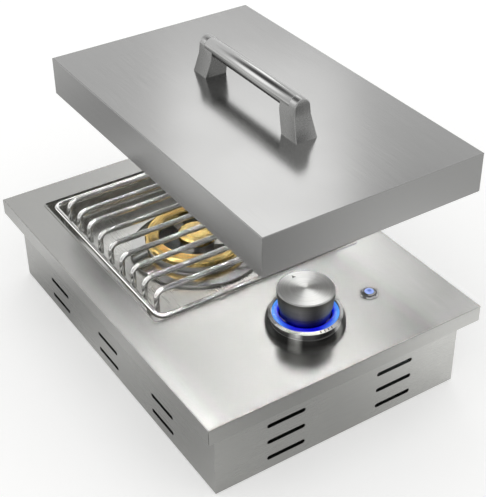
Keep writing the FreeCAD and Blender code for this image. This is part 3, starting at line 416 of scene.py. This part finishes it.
# hard-drawn spring wire: dark bright steel
springSteel = finish("drawn_spring_wire", {
    "dark": "#7E7E7E", "light": "#A0A0A0", "roughness": (0.2, 0.3), "grain": (0.3, 0.3, 0.3),
    "bump": 0.05, "depth": 0.01, "cloudSize": 4,
})
# sand-cast aluminium, shot-blasted: pale, dull and slightly pitted
castSilver = finish("cast_aluminium_bowl", {
    "dark": "#BDBDBB", "light": "#DADAD7", "roughness": (0.34, 0.46), "grain": (1.2, 1.2, 1.2),
    "detail": 4.0, "bump": 0.3, "depth": 0.08, "cloudSize": 12, "cloudTone": 0.25,
})
# drawn aluminium tube, as it comes
pipeAluminium = finish("drawn_aluminium_tube", {
    "dark": "#B4B5B6", "light": "#CDCED0", "roughness": (0.3, 0.42), "grain": (0.6, 20, 0.6),
    "bump": 0.08, "depth": 0.02, "cloudSize": 18,
})
# turned brass, bright and lacquer-free: warm gold with fine turning rings
burnerBrass = finish("turned_brass_flame_ring", {
    "dark": "#D6AF5C", "light": "#F2DC98", "roughness": (0.17, 0.24), "grain": (0.9, 2.0, 0.9),
    "detail": 1.0, "axis": burnerAxis, "anisotropic": 0.5, "bump": 0.05, "depth": 0.02, "cloudSize": 25,
    "cloudTone": 0.2,
})
valveBrass = finish("machined_brass_fittings", {
    "dark": "#AE8A3E", "light": "#D4B266", "roughness": (0.24, 0.38), "grain": (0.6, 0.6, 0.6),
    "bump": 0.12, "depth": 0.03, "cloudSize": 8, "cloudTone": 0.3,
})
# bright chrome plate over zinc: clean mirror
smallChrome = finish("chrome_plated_button", {
    "dark": "#A8A8A8", "light": "#BEBEBE", "roughness": (0.05, 0.1), "grain": (0.5, 0.5, 0.5),
    "bump": 0.02, "depth": 0.01, "cloudSize": 20, "cloudTone": 0.05,
})


def turnedWithPaintedFlank(name, v):
    # a turned piece with one finish, a colour and a roughness, on its level faces and another on its flank;
    # the flank's darker colour is painted shade and painted dark reflection
    material, tree = newMaterial(name)
    coordinates = addNode(tree, "ShaderNodeTexCoord")
    spun, tangent = aroundAxis(tree, coordinates.outputs["Object"], v["axis"])
    lean = addNode(tree, "ShaderNodeSeparateXYZ", {0: coordinates.outputs["Normal"]})
    level = addNode(tree, "ShaderNodeMath", {0: lean.outputs[2]}, operation="ABSOLUTE")
    steep, flat = v["parting"]
    side = addNode(tree, "ShaderNodeMapRange", {0: level.outputs[0], 1: steep, 2: flat, 3: 1.0, 4: 0.0})
    # rings left by the tool, drawn wide enough to show
    wide = 1 / (v["ringPitch"] * mm)
    stretched = addNode(tree, "ShaderNodeMapping", {
        "Vector": spun, "Scale": (wide, v["ringBreaks"], wide)})
    rings = addNode(tree, "ShaderNodeTexNoise", {
        "Vector": stretched.outputs[0], "Scale": 1.0, "Detail": 1.0})
    worn = addNode(tree, "ShaderNodeMapRange", {
        0: rings.outputs[0], 1: noise["low"], 2: noise["high"], 3: v["wear"][0], 4: v["wear"][1]})
    colour = addNode(tree, "ShaderNodeMix", {
        0: side.outputs[0], 6: linear(v["faces"][0]), 7: linear(v["flank"][0])}, data_type="RGBA")
    toned = addNode(tree, "ShaderNodeVectorMath", {
        0: colour.outputs[2], 1: worn.outputs[0]}, operation="MULTIPLY")
    # painted highlights and reflections: upright bands round the flank are made lighter, and the flank
    # between them darker
    paintedBands = v["paintedBands"]
    angle = addNode(tree, "ShaderNodeSeparateXYZ", {0: spun}).outputs[1]
    turn = addNode(tree, "ShaderNodeMath", {
        0: angle, 1: float(paintedBands["count"]), 2: -paintedBands["count"] * math.radians(paintedBands["first"])},
        operation="MULTIPLY_ADD")
    wave = addNode(tree, "ShaderNodeMath", {0: turn.outputs[0]}, operation="COSINE")
    highlightBand = addNode(tree, "ShaderNodeMapRange", {
        0: wave.outputs[0], 1: paintedBands["edge"], 2: 1.0, 3: paintedBands["between"], 4: paintedBands["on"]})
    onFlank = addNode(tree, "ShaderNodeMix", {
        0: side.outputs[0], 2: 1.0, 3: highlightBand.outputs[0]}, data_type="FLOAT")
    paintedFlankTone = addNode(tree, "ShaderNodeVectorMath", {
        0: toned.outputs[0], "Scale": onFlank.outputs[0]}, operation="SCALE")
    rough = addNode(tree, "ShaderNodeMapRange", {0: side.outputs[0], 3: v["faces"][1], 4: v["flank"][1]})
    ringed = addNode(tree, "ShaderNodeMath", {
        0: rough.outputs[0], 1: worn.outputs[0]}, operation="MULTIPLY")
    shader = addNode(tree, "ShaderNodeBsdfPrincipled", {
        "Base Color": paintedFlankTone.outputs[0], "Metallic": 1.0, "Roughness": ringed.outputs[0],
        "Anisotropic": v["anisotropic"], "Tangent": tangent})
    addNode(tree, "ShaderNodeOutputMaterial", {0: shader.outputs[0]})
    return material


# plated zinc bezel with its top land faced bright: the flank's near-black colour is a painted dark
# reflection, and bright bands round it are painted highlights
bezelChrome = turnedWithPaintedFlank("black_nickel_bezel_with_faced_land", {
    "axis": knobAxis, "parting": (0.6, 0.8),   # the normal's z where the flank ends and the faces begin
    "ringPitch": 1.0, "ringBreaks": 0.6,       # mm, and how often a ring changes per radian
    "wear": (0.9, 1.06),
    "faces": ("#B8B8B6", 0.24), "flank": ("#4C4C4B", 0.10), "anisotropic": 0.0,
    # how many painted highlight bands, the first one's angle, the tone between and on them, and the cosine
    # where they end
    "paintedBands": {"count": 5, "first": -68, "between": 0.7, "on": 6.0, "edge": 0.55},
})
# spun aluminium knob: circular brushing throws rays of light over its face; its side's darker colour is
# painted shade, with painted reflection bands round it
knobMetal = turnedWithPaintedFlank("spun_aluminium_knob", {
    "axis": knobAxis, "parting": (0.6, 0.8), "ringPitch": 1.4, "ringBreaks": 0.6, "wear": (0.9, 1.06),
    "faces": ("#C4C4C2", 0.34), "flank": ("#6A6A68", 0.32), "anisotropic": 0.9,
    "paintedBands": {"count": 5, "first": 0, "between": 0.6, "on": 1.9, "edge": -1.0},
})
# die-cast zinc posts under satin nickel
postMetal = finish("satin_nickel_posts", {
    "dark": "#9A9A99", "light": "#ACACAB", "roughness": (0.22, 0.3), "grain": (0.5, 0.5, 20),
    "bump": 0.06, "depth": 0.01, "cloudSize": 20, "cloudTone": 0.15,
})
# bright-drawn stainless bar under the same nickel
handleSteel = finish("satin_nickel_bar", {
    "dark": "#A4A4A3", "light": "#BCBCBB", "roughness": (0.12, 0.18), "grain": (0.4, 30, 0.4),
    "anisotropic": 0.3, "along": (0, 1, 0), "bump": 0.06, "depth": 0.01, "cloudSize": 30, "cloudTone": 0.1,
})


# Plastics, paint, wrap and ceramic

# glass-filled nylon, moulded black
blackNylon = finish("moulded_black_nylon", {
    "metallic": 0.0, "dark": "#161617", "light": "#202022", "roughness": (0.4, 0.55),
    "grain": (0.5, 0.5, 0.5), "bump": 0.3, "depth": 0.03, "cloudSize": 10,
})
# glass-epoxy board with green solder mask
boardEpoxy = finish("green_epoxy_board", {
    "metallic": 0.0, "dark": "#0F4A2C", "light": "#17623B", "roughness": (0.3, 0.4),
    "grain": (1.0, 1.0, 1.0), "bump": 0.1, "depth": 0.02, "cloudSize": 6,
})
# matt black enamel in the knob's pointer recess and on the dial
blackEnamel = finish("black_enamel", {
    "metallic": 0.0, "dark": "#0C0C0D", "light": "#151516", "roughness": (0.3, 0.4),
    "grain": (0.3, 0.3, 0.3), "bump": 0.1, "depth": 0.01, "cloudSize": 3,
})
# shrunk film round the cells: glossy plain green with a slight unevenness
cellWrap = finish("shrink_film_cells", {
    "metallic": 0.0, "dark": "#1F6B4B", "light": "#2A8A60", "roughness": (0.16, 0.24),
    "grain": (6, 1.5, 1.5), "bump": 0.1, "depth": 0.04, "cloudSize": 12,
})
# glazed alumina: warm white, glossy
ceramicGlaze = finish("glazed_alumina", {
    "metallic": 0.0, "dark": "#DCD8CF", "light": "#F0EDE6", "roughness": (0.12, 0.2),
    "grain": (1.5, 1.5, 1.5), "bump": 0.1, "depth": 0.03, "cloudSize": 6,
})


def glowingLens(name, v):
    # clear-tinted acrylic with a lamp behind it: it glows, and its skin still shines
    material, tree = newMaterial(name)
    place = addNode(tree, "ShaderNodeTexCoord").outputs["Object"]
    spun, _ = aroundAxis(tree, place, v["axis"])
    parts = addNode(tree, "ShaderNodeSeparateXYZ", {0: spun})
    across = addNode(tree, "ShaderNodeMapRange", {
        0: parts.outputs[0], 1: v["innerR"], 2: v["outerR"]}, interpolation_type="SMOOTHSTEP")
    patches = addNode(tree, "ShaderNodeTexNoise", {
        "Vector": place, "Scale": 1 / (v["patch"] * mm), "Detail": 1.0})
    dimFrom, dimTo, dimmest = v["dim"]
    spots = addNode(tree, "ShaderNodeMapRange", {0: patches.outputs[0], 1: dimFrom, 2: dimTo, 3: dimmest})
    amount = addNode(tree, "ShaderNodeMath", {
        0: across.outputs[0], 1: spots.outputs[0]}, operation="MULTIPLY")
    if "paintedHighlightAngle" in v:
        # painted highlight: the glow is made brighter at two opposite places round the ring
        turn = addNode(tree, "ShaderNodeMath", {
            0: parts.outputs[1], 1: math.radians(v["paintedHighlightAngle"])}, operation="SUBTRACT")
        swing = addNode(tree, "ShaderNodeMath", {0: turn.outputs[0]}, operation="COSINE")
        near = addNode(tree, "ShaderNodeMath", {0: swing.outputs[0]}, operation="ABSOLUTE")
        lit = addNode(tree, "ShaderNodeMapRange", {
            0: near.outputs[0], 1: v["paintedHighlightReach"], 2: 1.0}, interpolation_type="SMOOTHSTEP")
        amount = addNode(tree, "ShaderNodeMath", {
            0: amount.outputs[0], 1: lit.outputs[0]}, operation="MULTIPLY")
    glow = addNode(tree, "ShaderNodeMix", {
        0: amount.outputs[0], 6: linear(v["deep"]), 7: linear(v["bright"])}, data_type="RGBA")
    shader = addNode(tree, "ShaderNodeBsdfPrincipled", {
        "Base Color": linear(v["body"]), "Roughness": v["roughness"], "IOR": v["ior"],
        "Emission Color": glow.outputs[2], "Emission Strength": v["glow"],
        "Coat Weight": v["coat"], "Coat Roughness": v["coatRoughness"],
    })
    addNode(tree, "ShaderNodeOutputMaterial", {0: shader.outputs[0]})
    return material


blueRing = glowingLens("lit_blue_acrylic_ring", {
    "axis": knobAxis, "innerR": 30 * mm, "outerR": halfWidth("light_ring"),   # from deep to bright
    "patch": 26, "dim": (0.3, 0.6, 0.7),   # mm; the noise where a patch is dimmest and full, and how dim
    "paintedHighlightAngle": 145, "paintedHighlightReach": 0.35,   # degrees, and the cosine where the painted highlight ends
    "body": "#050A50", "deep": "#0000C4", "bright": "#58A8FF", "glow": 1.0, "roughness": 0.2,
    "ior": 1.49, "coat": 0.3, "coatRoughness": 0.05,
})
blueLens = glowingLens("blue_acrylic_button_lens", {
    "axis": buttonAxis, "innerR": 1.2 * mm, "outerR": halfWidth("button_lens") * 0.85,
    "patch": 6, "dim": (0.3, 0.6, 0.7),
    "body": "#3A5AA8", "deep": "#2C4488", "bright": "#B2C4EC", "glow": 0.7, "roughness": 0.08,
    "ior": 1.49, "coat": 0.3, "coatRoughness": 0.05,
})

finishes = {
    deckSheet: ["top_deck"],
    wallSheet: ["front_panel", "rear_panel", "left_panel", "right_panel"],
    zincSheet: ["base_panel", "heat_shield", "valve_plate"],
    panSheet: ["burner_pan"],
    brightSheet: ["spill_ring"],
    lidSheet: ["lid_shell"],
    rodSteel: ["grate_frame", "grate_bars", "grate_feet", "igniter_electrode"],
    screwSteel: ["base_screws", "burner_screws", "valve_screws", "handle_screws", "button_nut",
                 "stem_collar", "air_shutter"],
    springSteel: ["stem_spring", "button_spring"],
    castSilver: ["burner_bowl", "mixing_tube"],
    pipeAluminium: ["gas_pipe"],
    burnerBrass: ["outer_flame_ring", "inner_flame_cap"],
    valveBrass: ["valve_body", "valve_stem", "gas_jet", "union_nuts", "inlet_fitting", "inlet_nut"],
    bezelChrome: ["knob_bezel"],
    smallChrome: ["button_bezel", "button_plunger"],
    knobMetal: ["knob_shell"],
    postMetal: ["handle_post_front", "handle_post_rear"],
    handleSteel: ["handle_bar"],
    blackNylon: ["button_switch", "battery_holder"],
    boardEpoxy: ["light_board"],
    blackEnamel: ["knob_pointer"],
    cellWrap: ["battery_cells"],
    ceramicGlaze: ["igniter_ceramic"],
    blueRing: ["light_ring"],
    blueLens: ["button_lens"],
}


def dress(data, material):
    data.materials.clear()
    data.materials.append(material)


for material, names in finishes.items():
    for name in names:
        dress(nodes[name].data, material)
left = sorted(set(nodes) - {name for names in finishes.values() for name in names})
print("finishes given; nodes without one:", left)


# Small tools for shapes

weldGap = 0.002 * mm   # points nearer than this become one
hair = 0.01 * mm       # nearer than this, two heights or depths are one
crease = 35            # degrees; an edge that turns by more stays sharp


def toMesh(name, shape, sharpFrom=crease):
    # ends a bmesh: faces outwards, smooth but for its sharp edges
    bmesh.ops.remove_doubles(shape, verts=shape.verts, dist=weldGap)
    bmesh.ops.recalc_face_normals(shape, faces=shape.faces)
    data = bpy.data.meshes.new(name)
    shape.to_mesh(data)
    shape.free()
    data.shade_smooth()
    data.set_sharp_from_angle(angle=math.radians(sharpFrom))
    return data


def addPiece(data, material, body, *stoodFor):
    # a finished mesh becomes a piece that rides on a body and stands for the nodes given
    dress(data, material)
    piece = bpy.data.objects.new(data.name, data)
    bpy.context.scene.collection.objects.link(piece)
    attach(piece, body)
    if stoodFor:
        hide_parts(*stoodFor)
    return piece


def mergedCopy(node):
    # a node's loose triangles, joined into one skin
    shape = bmesh.new()
    shape.from_mesh(nodes[node].data)
    bmesh.ops.remove_doubles(shape, verts=shape.verts, dist=weldGap)
    return shape


def turned(outline, axis, steps=128):
    # spins a closed outline of (radius, height) round an upright axis
    shape = bmesh.new()
    corners = [shape.verts.new((axis.x + r, axis.y, z)) for r, z in outline]
    rims = [shape.edges.new(pair) for pair in zip(corners, corners[1:] + corners[:1])]
    bmesh.ops.spin(shape, geom=corners + rims, cent=axis, axis=(0, 0, 1), angle=math.tau, steps=steps,
                   use_merge=True)
    return shape


def roundBar(radius, start, end, segments=72):
    # a plain cylinder between two points
    shape = bmesh.new()
    line = Vector(end) - Vector(start)
    bmesh.ops.create_cone(shape, cap_ends=True, segments=segments, radius1=radius, radius2=radius,
                          depth=line.length)
    bmesh.ops.rotate(shape, verts=shape.verts, cent=(0, 0, 0),
                     matrix=line.to_track_quat("Z", "X").to_matrix())
    bmesh.ops.translate(shape, verts=shape.verts, vec=(Vector(start) + Vector(end)) / 2)
    return shape


def carved(name, data, cutters, sharpFrom=crease):
    # a mesh with each cutter's shape taken out of it
    blank = bpy.data.objects.new(name, data)
    tools = [bpy.data.objects.new("cutter", toMesh("cutter", cutter)) for cutter in cutters]
    for obj in [blank] + tools:
        bpy.context.scene.collection.objects.link(obj)
    for tool in tools:
        cut = blank.modifiers.new("cut", "BOOLEAN")
        cut.operation = "DIFFERENCE"
        cut.solver = "EXACT"
        cut.object = tool
    graph = bpy.context.evaluated_depsgraph_get()
    result = bpy.data.meshes.new_from_object(blank.evaluated_get(graph))
    for obj in [blank] + tools:
        bpy.data.objects.remove(obj)
    shape = bmesh.new()
    shape.from_mesh(result)
    return toMesh(name, shape, sharpFrom)


# Handle: a bright bar that lies in two arched posts, whose feet splay outwards

handle = {   # mm
    "length": 202, "height": 48.2, "barR": 10.5, "barEdge": 0.5, "barEdgeSteps": 2,
    "postDepth": 29, "footWidth": 29.5, "rim": 1.3,
    "splay": 9, "splayHeight": 27,     # how far a foot stands out, and from which height down
    "cap": 12,                         # what closes the bar's end
    "seatGap": 0.1, "seatRunOut": 5,   # air round the bar, and how far its hole's cutter stands out
    "archSteps": 18, "rimSteps": 3, "archShare": 0.998,   # the arch leaves a sliver of flat top
}


def makePost(name, side, centre, v):
    height, barR, depth = v["height"] * mm, v["barR"] * mm, v["postDepth"] * mm
    foot = v["footWidth"] * mm / 2
    barHeight = height - barR
    lean = math.acos(barR / math.hypot(foot, barHeight)) - math.atan2(barHeight, foot)
    crown = foot - height * math.tan(lean)   # half width at the top, before the arch is rounded
    shape = bmesh.new()
    bmesh.ops.create_cube(shape, size=1)
    bmesh.ops.translate(shape, verts=shape.verts, vec=(0, 0, 0.5))
    bmesh.ops.scale(shape, verts=shape.verts, vec=(2 * crown, depth, height))
    low = [vert for vert in shape.verts if vert.co.z < mm]
    bmesh.ops.scale(shape, verts=low, vec=(foot / crown, 1, 1))
    ridges = [edge for edge in shape.edges
              if all(vert.co.z > height - mm for vert in edge.verts)
              and abs(edge.verts[0].co.y - edge.verts[1].co.y) > mm]
    bmesh.ops.bevel(shape, geom=ridges, offset=v["archShare"] * crown, offset_type="OFFSET",
                    segments=v["archSteps"], profile=0.5, affect="EDGES", material=-1)
    bend = v["splayHeight"] * mm
    bmesh.ops.bisect_plane(shape, geom=shape.verts[:] + shape.edges[:] + shape.faces[:],
                           plane_co=(0, 0, bend), plane_no=(0, 0, 1))
    # the end's outline, apart from the fold line and the foot, gets a rounded rim
    rims = [edge for edge in shape.edges
            if all(side * vert.co.y > depth / 2 - hair for vert in edge.verts)
            and not all(vert.co.z < hair for vert in edge.verts)
            and not all(abs(vert.co.z - bend) < hair for vert in edge.verts)]
    bmesh.ops.bevel(shape, geom=rims, offset=v["rim"] * mm, offset_type="OFFSET",
                    segments=v["rimSteps"], profile=0.5, affect="EDGES", material=-1)
    for vert in shape.verts:
        if vert.co.z < bend:
            vert.co.y += side * v["splay"] * mm * (1 - vert.co.z / bend)
    middleY = side * (v["length"] - v["postDepth"]) * mm / 2
    bmesh.ops.translate(shape, verts=shape.verts, vec=centre + Vector((0, middleY, 0)))
    end = side * (v["length"] / 2 - v["cap"]) * mm
    start = side * (v["length"] / 2 - v["postDepth"] - v["seatRunOut"]) * mm
    seat = roundBar(barR + v["seatGap"] * mm, centre + Vector((0, start, barHeight)),
                    centre + Vector((0, end, barHeight)))
    return carved(name, toMesh(name, shape), [seat])


def makeHandle(v):
    centre = middle("handle_bar")
    centre.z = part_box("handle_post_front")[0].z
    half = (v["length"] / 2 - v["cap"]) * mm
    barHeight = (v["height"] - v["barR"]) * mm
    bar = roundBar(v["barR"] * mm, centre + Vector((0, -half, barHeight)),
                   centre + Vector((0, half, barHeight)))
    rims = [edge for edge in bar.edges if abs(edge.verts[0].co.y - edge.verts[1].co.y) < hair]
    bmesh.ops.bevel(bar, geom=rims, offset=v["barEdge"] * mm, segments=v["barEdgeSteps"], profile=0.5,
                    affect="EDGES", material=-1)
    addPiece(toMesh("bright_handle_bar", bar), handleSteel, "lid", "handle_bar")
    for place, side in (("front", -1), ("rear", 1)):
        post = makePost("arched_post_" + place, side, centre, v)
        addPiece(post, postMetal, "lid", "handle_post_" + place)


makeHandle(handle)
print("handle made")


# Grate, drawn in its full rod thickness

grate = {"rodD": 7.0}   # mm


def makeGrate(v):
    low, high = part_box("grate_frame")   # the frame lies flat, so its height is the nodes' rod thickness
    for name, node in (("thick_frame_rod", "grate_frame"), ("thick_cross_rods", "grate_bars")):
        piece = addPiece(toMesh(name, mergedCopy(node)), rodSteel, "grate", node)
        grow = piece.modifiers.new("grow", "DISPLACE")
        grow.strength = (v["rodD"] * mm - (high.z - low.z)) / 2
        grow.mid_level = 0


makeGrate(grate)
print("grate made")


# Outer flame ring: the node's ring with turned grooves in its top

flameRing = {   # mm
    "grooves": 3, "first": 51.3,   # how many, and the first one's distance from the axis
    "pitch": 2.7, "width": 1.3, "depth": 0.9,
    "clear": 1,                    # how far a groove's cutter stands out of the top
    "sharpFrom": 28,               # degrees
}


def makeFlameRing(v):
    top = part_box("outer_flame_ring")[1].z
    low, high = top - v["depth"] * mm, top + v["clear"] * mm
    cutters = []
    for k in range(v["grooves"]):
        near = (v["first"] + k * v["pitch"]) * mm
        far = near + v["width"] * mm
        cutters.append(turned([(near, low), (far, low), (far, high), (near, high)], burnerAxis))
    blank = toMesh("ring", mergedCopy("outer_flame_ring"))
    ring = carved("grooved_flame_ring", blank, cutters, v["sharpFrom"])
    addPiece(ring, burnerBrass, "flame_ring", "outer_flame_ring")


makeFlameRing(flameRing)
print("flame ring made")


# Spill ring: a shallow bright cone whose edge stands out past its foot, with a dark gap under it

spillRing = {   # mm
    "nodeWidth": 18.5, "width": 21.0, "lip": 2.0, "slope": 3.4, "sheet": 0.8,
    "holeGap": 0.5, "holeSteps": 64,   # the gap round the igniter
    "clear": 1,                        # how far the hole's cutter stands out at both ends
}


def makeSpillRing(v):
    low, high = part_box("spill_ring")
    sheet = v["sheet"] * mm
    inner = halfWidth("spill_ring") - v["nodeWidth"] * mm
    outer = inner + v["width"] * mm
    foot = outer - v["lip"] * mm
    edge = high.z - v["slope"] * mm
    outline = [(inner, high.z - sheet), (inner, high.z), (outer, edge), (outer, edge - sheet),
               (foot, edge - sheet), (foot, low.z), (foot - sheet, low.z), (foot - sheet, edge - sheet)]
    spark, past = middle("igniter_ceramic"), v["clear"] * mm
    hole = roundBar(halfWidth("igniter_ceramic") + v["holeGap"] * mm, (spark.x, spark.y, low.z - past),
                    (spark.x, spark.y, high.z + past), v["holeSteps"])
    ring = carved("overhanging_spill_ring", toMesh("ring", turned(outline, burnerAxis)), [hole])
    return addPiece(ring, brightSheet, "housing", "spill_ring")


spillPiece = makeSpillRing(spillRing)
print("spill ring made")


# Button lens: a clear dome

lens = {
    "radius": 5.6, "crown": 1.2, "depth": 1.4,   # mm
    "domeStep": 15, "steps": 48,                 # degrees up the dome, and facets round it
}


def makeLens(v):
    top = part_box("button_plunger")[1].z
    radius, crown, low = v["radius"] * mm, v["crown"] * mm, top - v["depth"] * mm
    dome = [math.radians(angle) for angle in range(0, 90, v["domeStep"])]
    outline = [(0, low), (radius, low)]
    outline += [(radius * math.cos(a), top + crown * math.sin(a)) for a in dome]
    outline.append((0, top + crown))
    shape = turned(outline, buttonAxis, v["steps"])
    addPiece(toMesh("domed_lens", shape), blueLens, "light_button", "button_lens")


makeLens(lens)
print("button lens made")


# Knob bezel with a wide sloping land, and low strokes of enamel on it at the front and at both sides

bezel = {   # mm
    "height": 16.0, "floor": 1.2, "wall": 1.8, "eyeR": 11, "seatGap": 0.1, "shelf": 6,
    "innerEdge": 0.8, "innerDrop": 0.7,    # the small edge between the land and the lamp
    "landRun": 3.4, "landDrop": 1.9,
    # the flank: how far in from the widest place, and how high
    "flank": [(0, 0), (0, 3.0), (0.4, 6.5), (1.3, 10.0)],
    "shoulder": (0.7, 1.1),                # out and down from the land's rim
    "sharpFrom": 25,                       # degrees
    "markLength": 2.6, "markWidth": 1.1, "markRise": 0.2,
    "markTurns": (-101, -94, -87, -80, 0, 180),   # degrees
}


def makeBezel(v):
    foot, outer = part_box("knob_bezel")[0].z, halfWidth("knob_bezel")
    seat, shelf = halfWidth("light_ring") + v["seatGap"] * mm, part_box("light_board")[0].z
    top = foot + v["height"] * mm
    inner = seat + v["innerEdge"] * mm
    rim, rimZ = inner + v["landRun"] * mm, top - v["landDrop"] * mm
    wall, floor, eye = v["wall"] * mm, foot + v["floor"] * mm, v["eyeR"] * mm
    lip = seat - v["shelf"] * mm
    below = foot + v["flank"][1][1] * mm
    out, down = v["shoulder"]
    flank = [(outer - inwards * mm, foot + rise * mm) for inwards, rise in v["flank"]]
    flank.append((rim + out * mm, rimZ - down * mm))
    land = [(rim, rimZ), (inner, top), (seat, top - v["innerDrop"] * mm)]
    inside = [(seat, shelf), (lip, shelf), (lip, shelf - wall), (seat + wall, shelf - wall),
              (outer - 2 * wall, below), (outer - 2 * wall, floor), (eye, floor), (eye, foot)]
    ring = toMesh("sloping_bezel", turned(flank + land + inside, knobAxis), v["sharpFrom"])
    addPiece(ring, bezelChrome, "housing", "knob_bezel")
    # the marks lie on the middle of the land and lean with it
    slope = math.atan2(v["landDrop"], v["landRun"])
    marks = bmesh.new()
    for turn in v["markTurns"]:
        mark = bmesh.ops.create_cube(marks, size=1)["verts"]
        bmesh.ops.scale(marks, verts=mark,
                        vec=(v["markLength"] * mm, v["markWidth"] * mm, 2 * v["markRise"] * mm))
        bmesh.ops.rotate(marks, verts=mark, cent=(0, 0, 0), matrix=Matrix.Rotation(slope, 3, "Y"))
        bmesh.ops.translate(marks, verts=mark, vec=((inner + rim) / 2, 0, 0))
        bmesh.ops.rotate(marks, verts=mark, cent=(0, 0, 0),
                         matrix=Matrix.Rotation(math.radians(turn), 3, "Z"))
        bmesh.ops.translate(marks, verts=mark, vec=(knobAxis.x, knobAxis.y, (top + rimZ) / 2))
    addPiece(toMesh("dial_marks", marks), blackEnamel, "housing")


makeBezel(bezel)
print("bezel made")


# Return springs: they stand on the housing

springs = {
    # piece: its node, the joint that presses it, and that joint's travel in mm
    "coiled_stem_spring": ("stem_spring", "knob_push", 3.0),
    "coiled_button_spring": ("button_spring", "light_button_push", 2.0),
}


def makeSprings(v):
    for name, (node, joint, travel) in v.items():
        spring = addPiece(toMesh(name, mergedCopy(node)), springSteel, "housing", node)
        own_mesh(spring)


makeSprings(springs)
print("springs made")


# What the linked lamps light

def lampGroups():
    lidNodes = frame["record"]["behaviour"]["bodies"]["lid"]
    carried = [piece for name, piece in nodes.items() if name not in lidNodes]
    made = [piece for piece in bpy.data.objects
            if piece.get("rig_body") not in (None, "lid") and piece not in carried]
    belowLid = carried + made
    knob = [nodes["knob_shell"], nodes["knob_pointer"]]
    well = [piece for piece in belowLid if piece.get("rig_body") in ("grate", "flame_ring")]
    well += [nodes[name] for name in ("burner_pan", "burner_bowl", "inner_flame_cap")]
    well.append(spillPiece)
    deck = [piece for piece in belowLid if piece not in knob]
    return {"below_lid": belowLid, "deck": deck, "well": well, "knob": knob}


shinePastLid(lamps, lampGroups())
print("lamps linked")
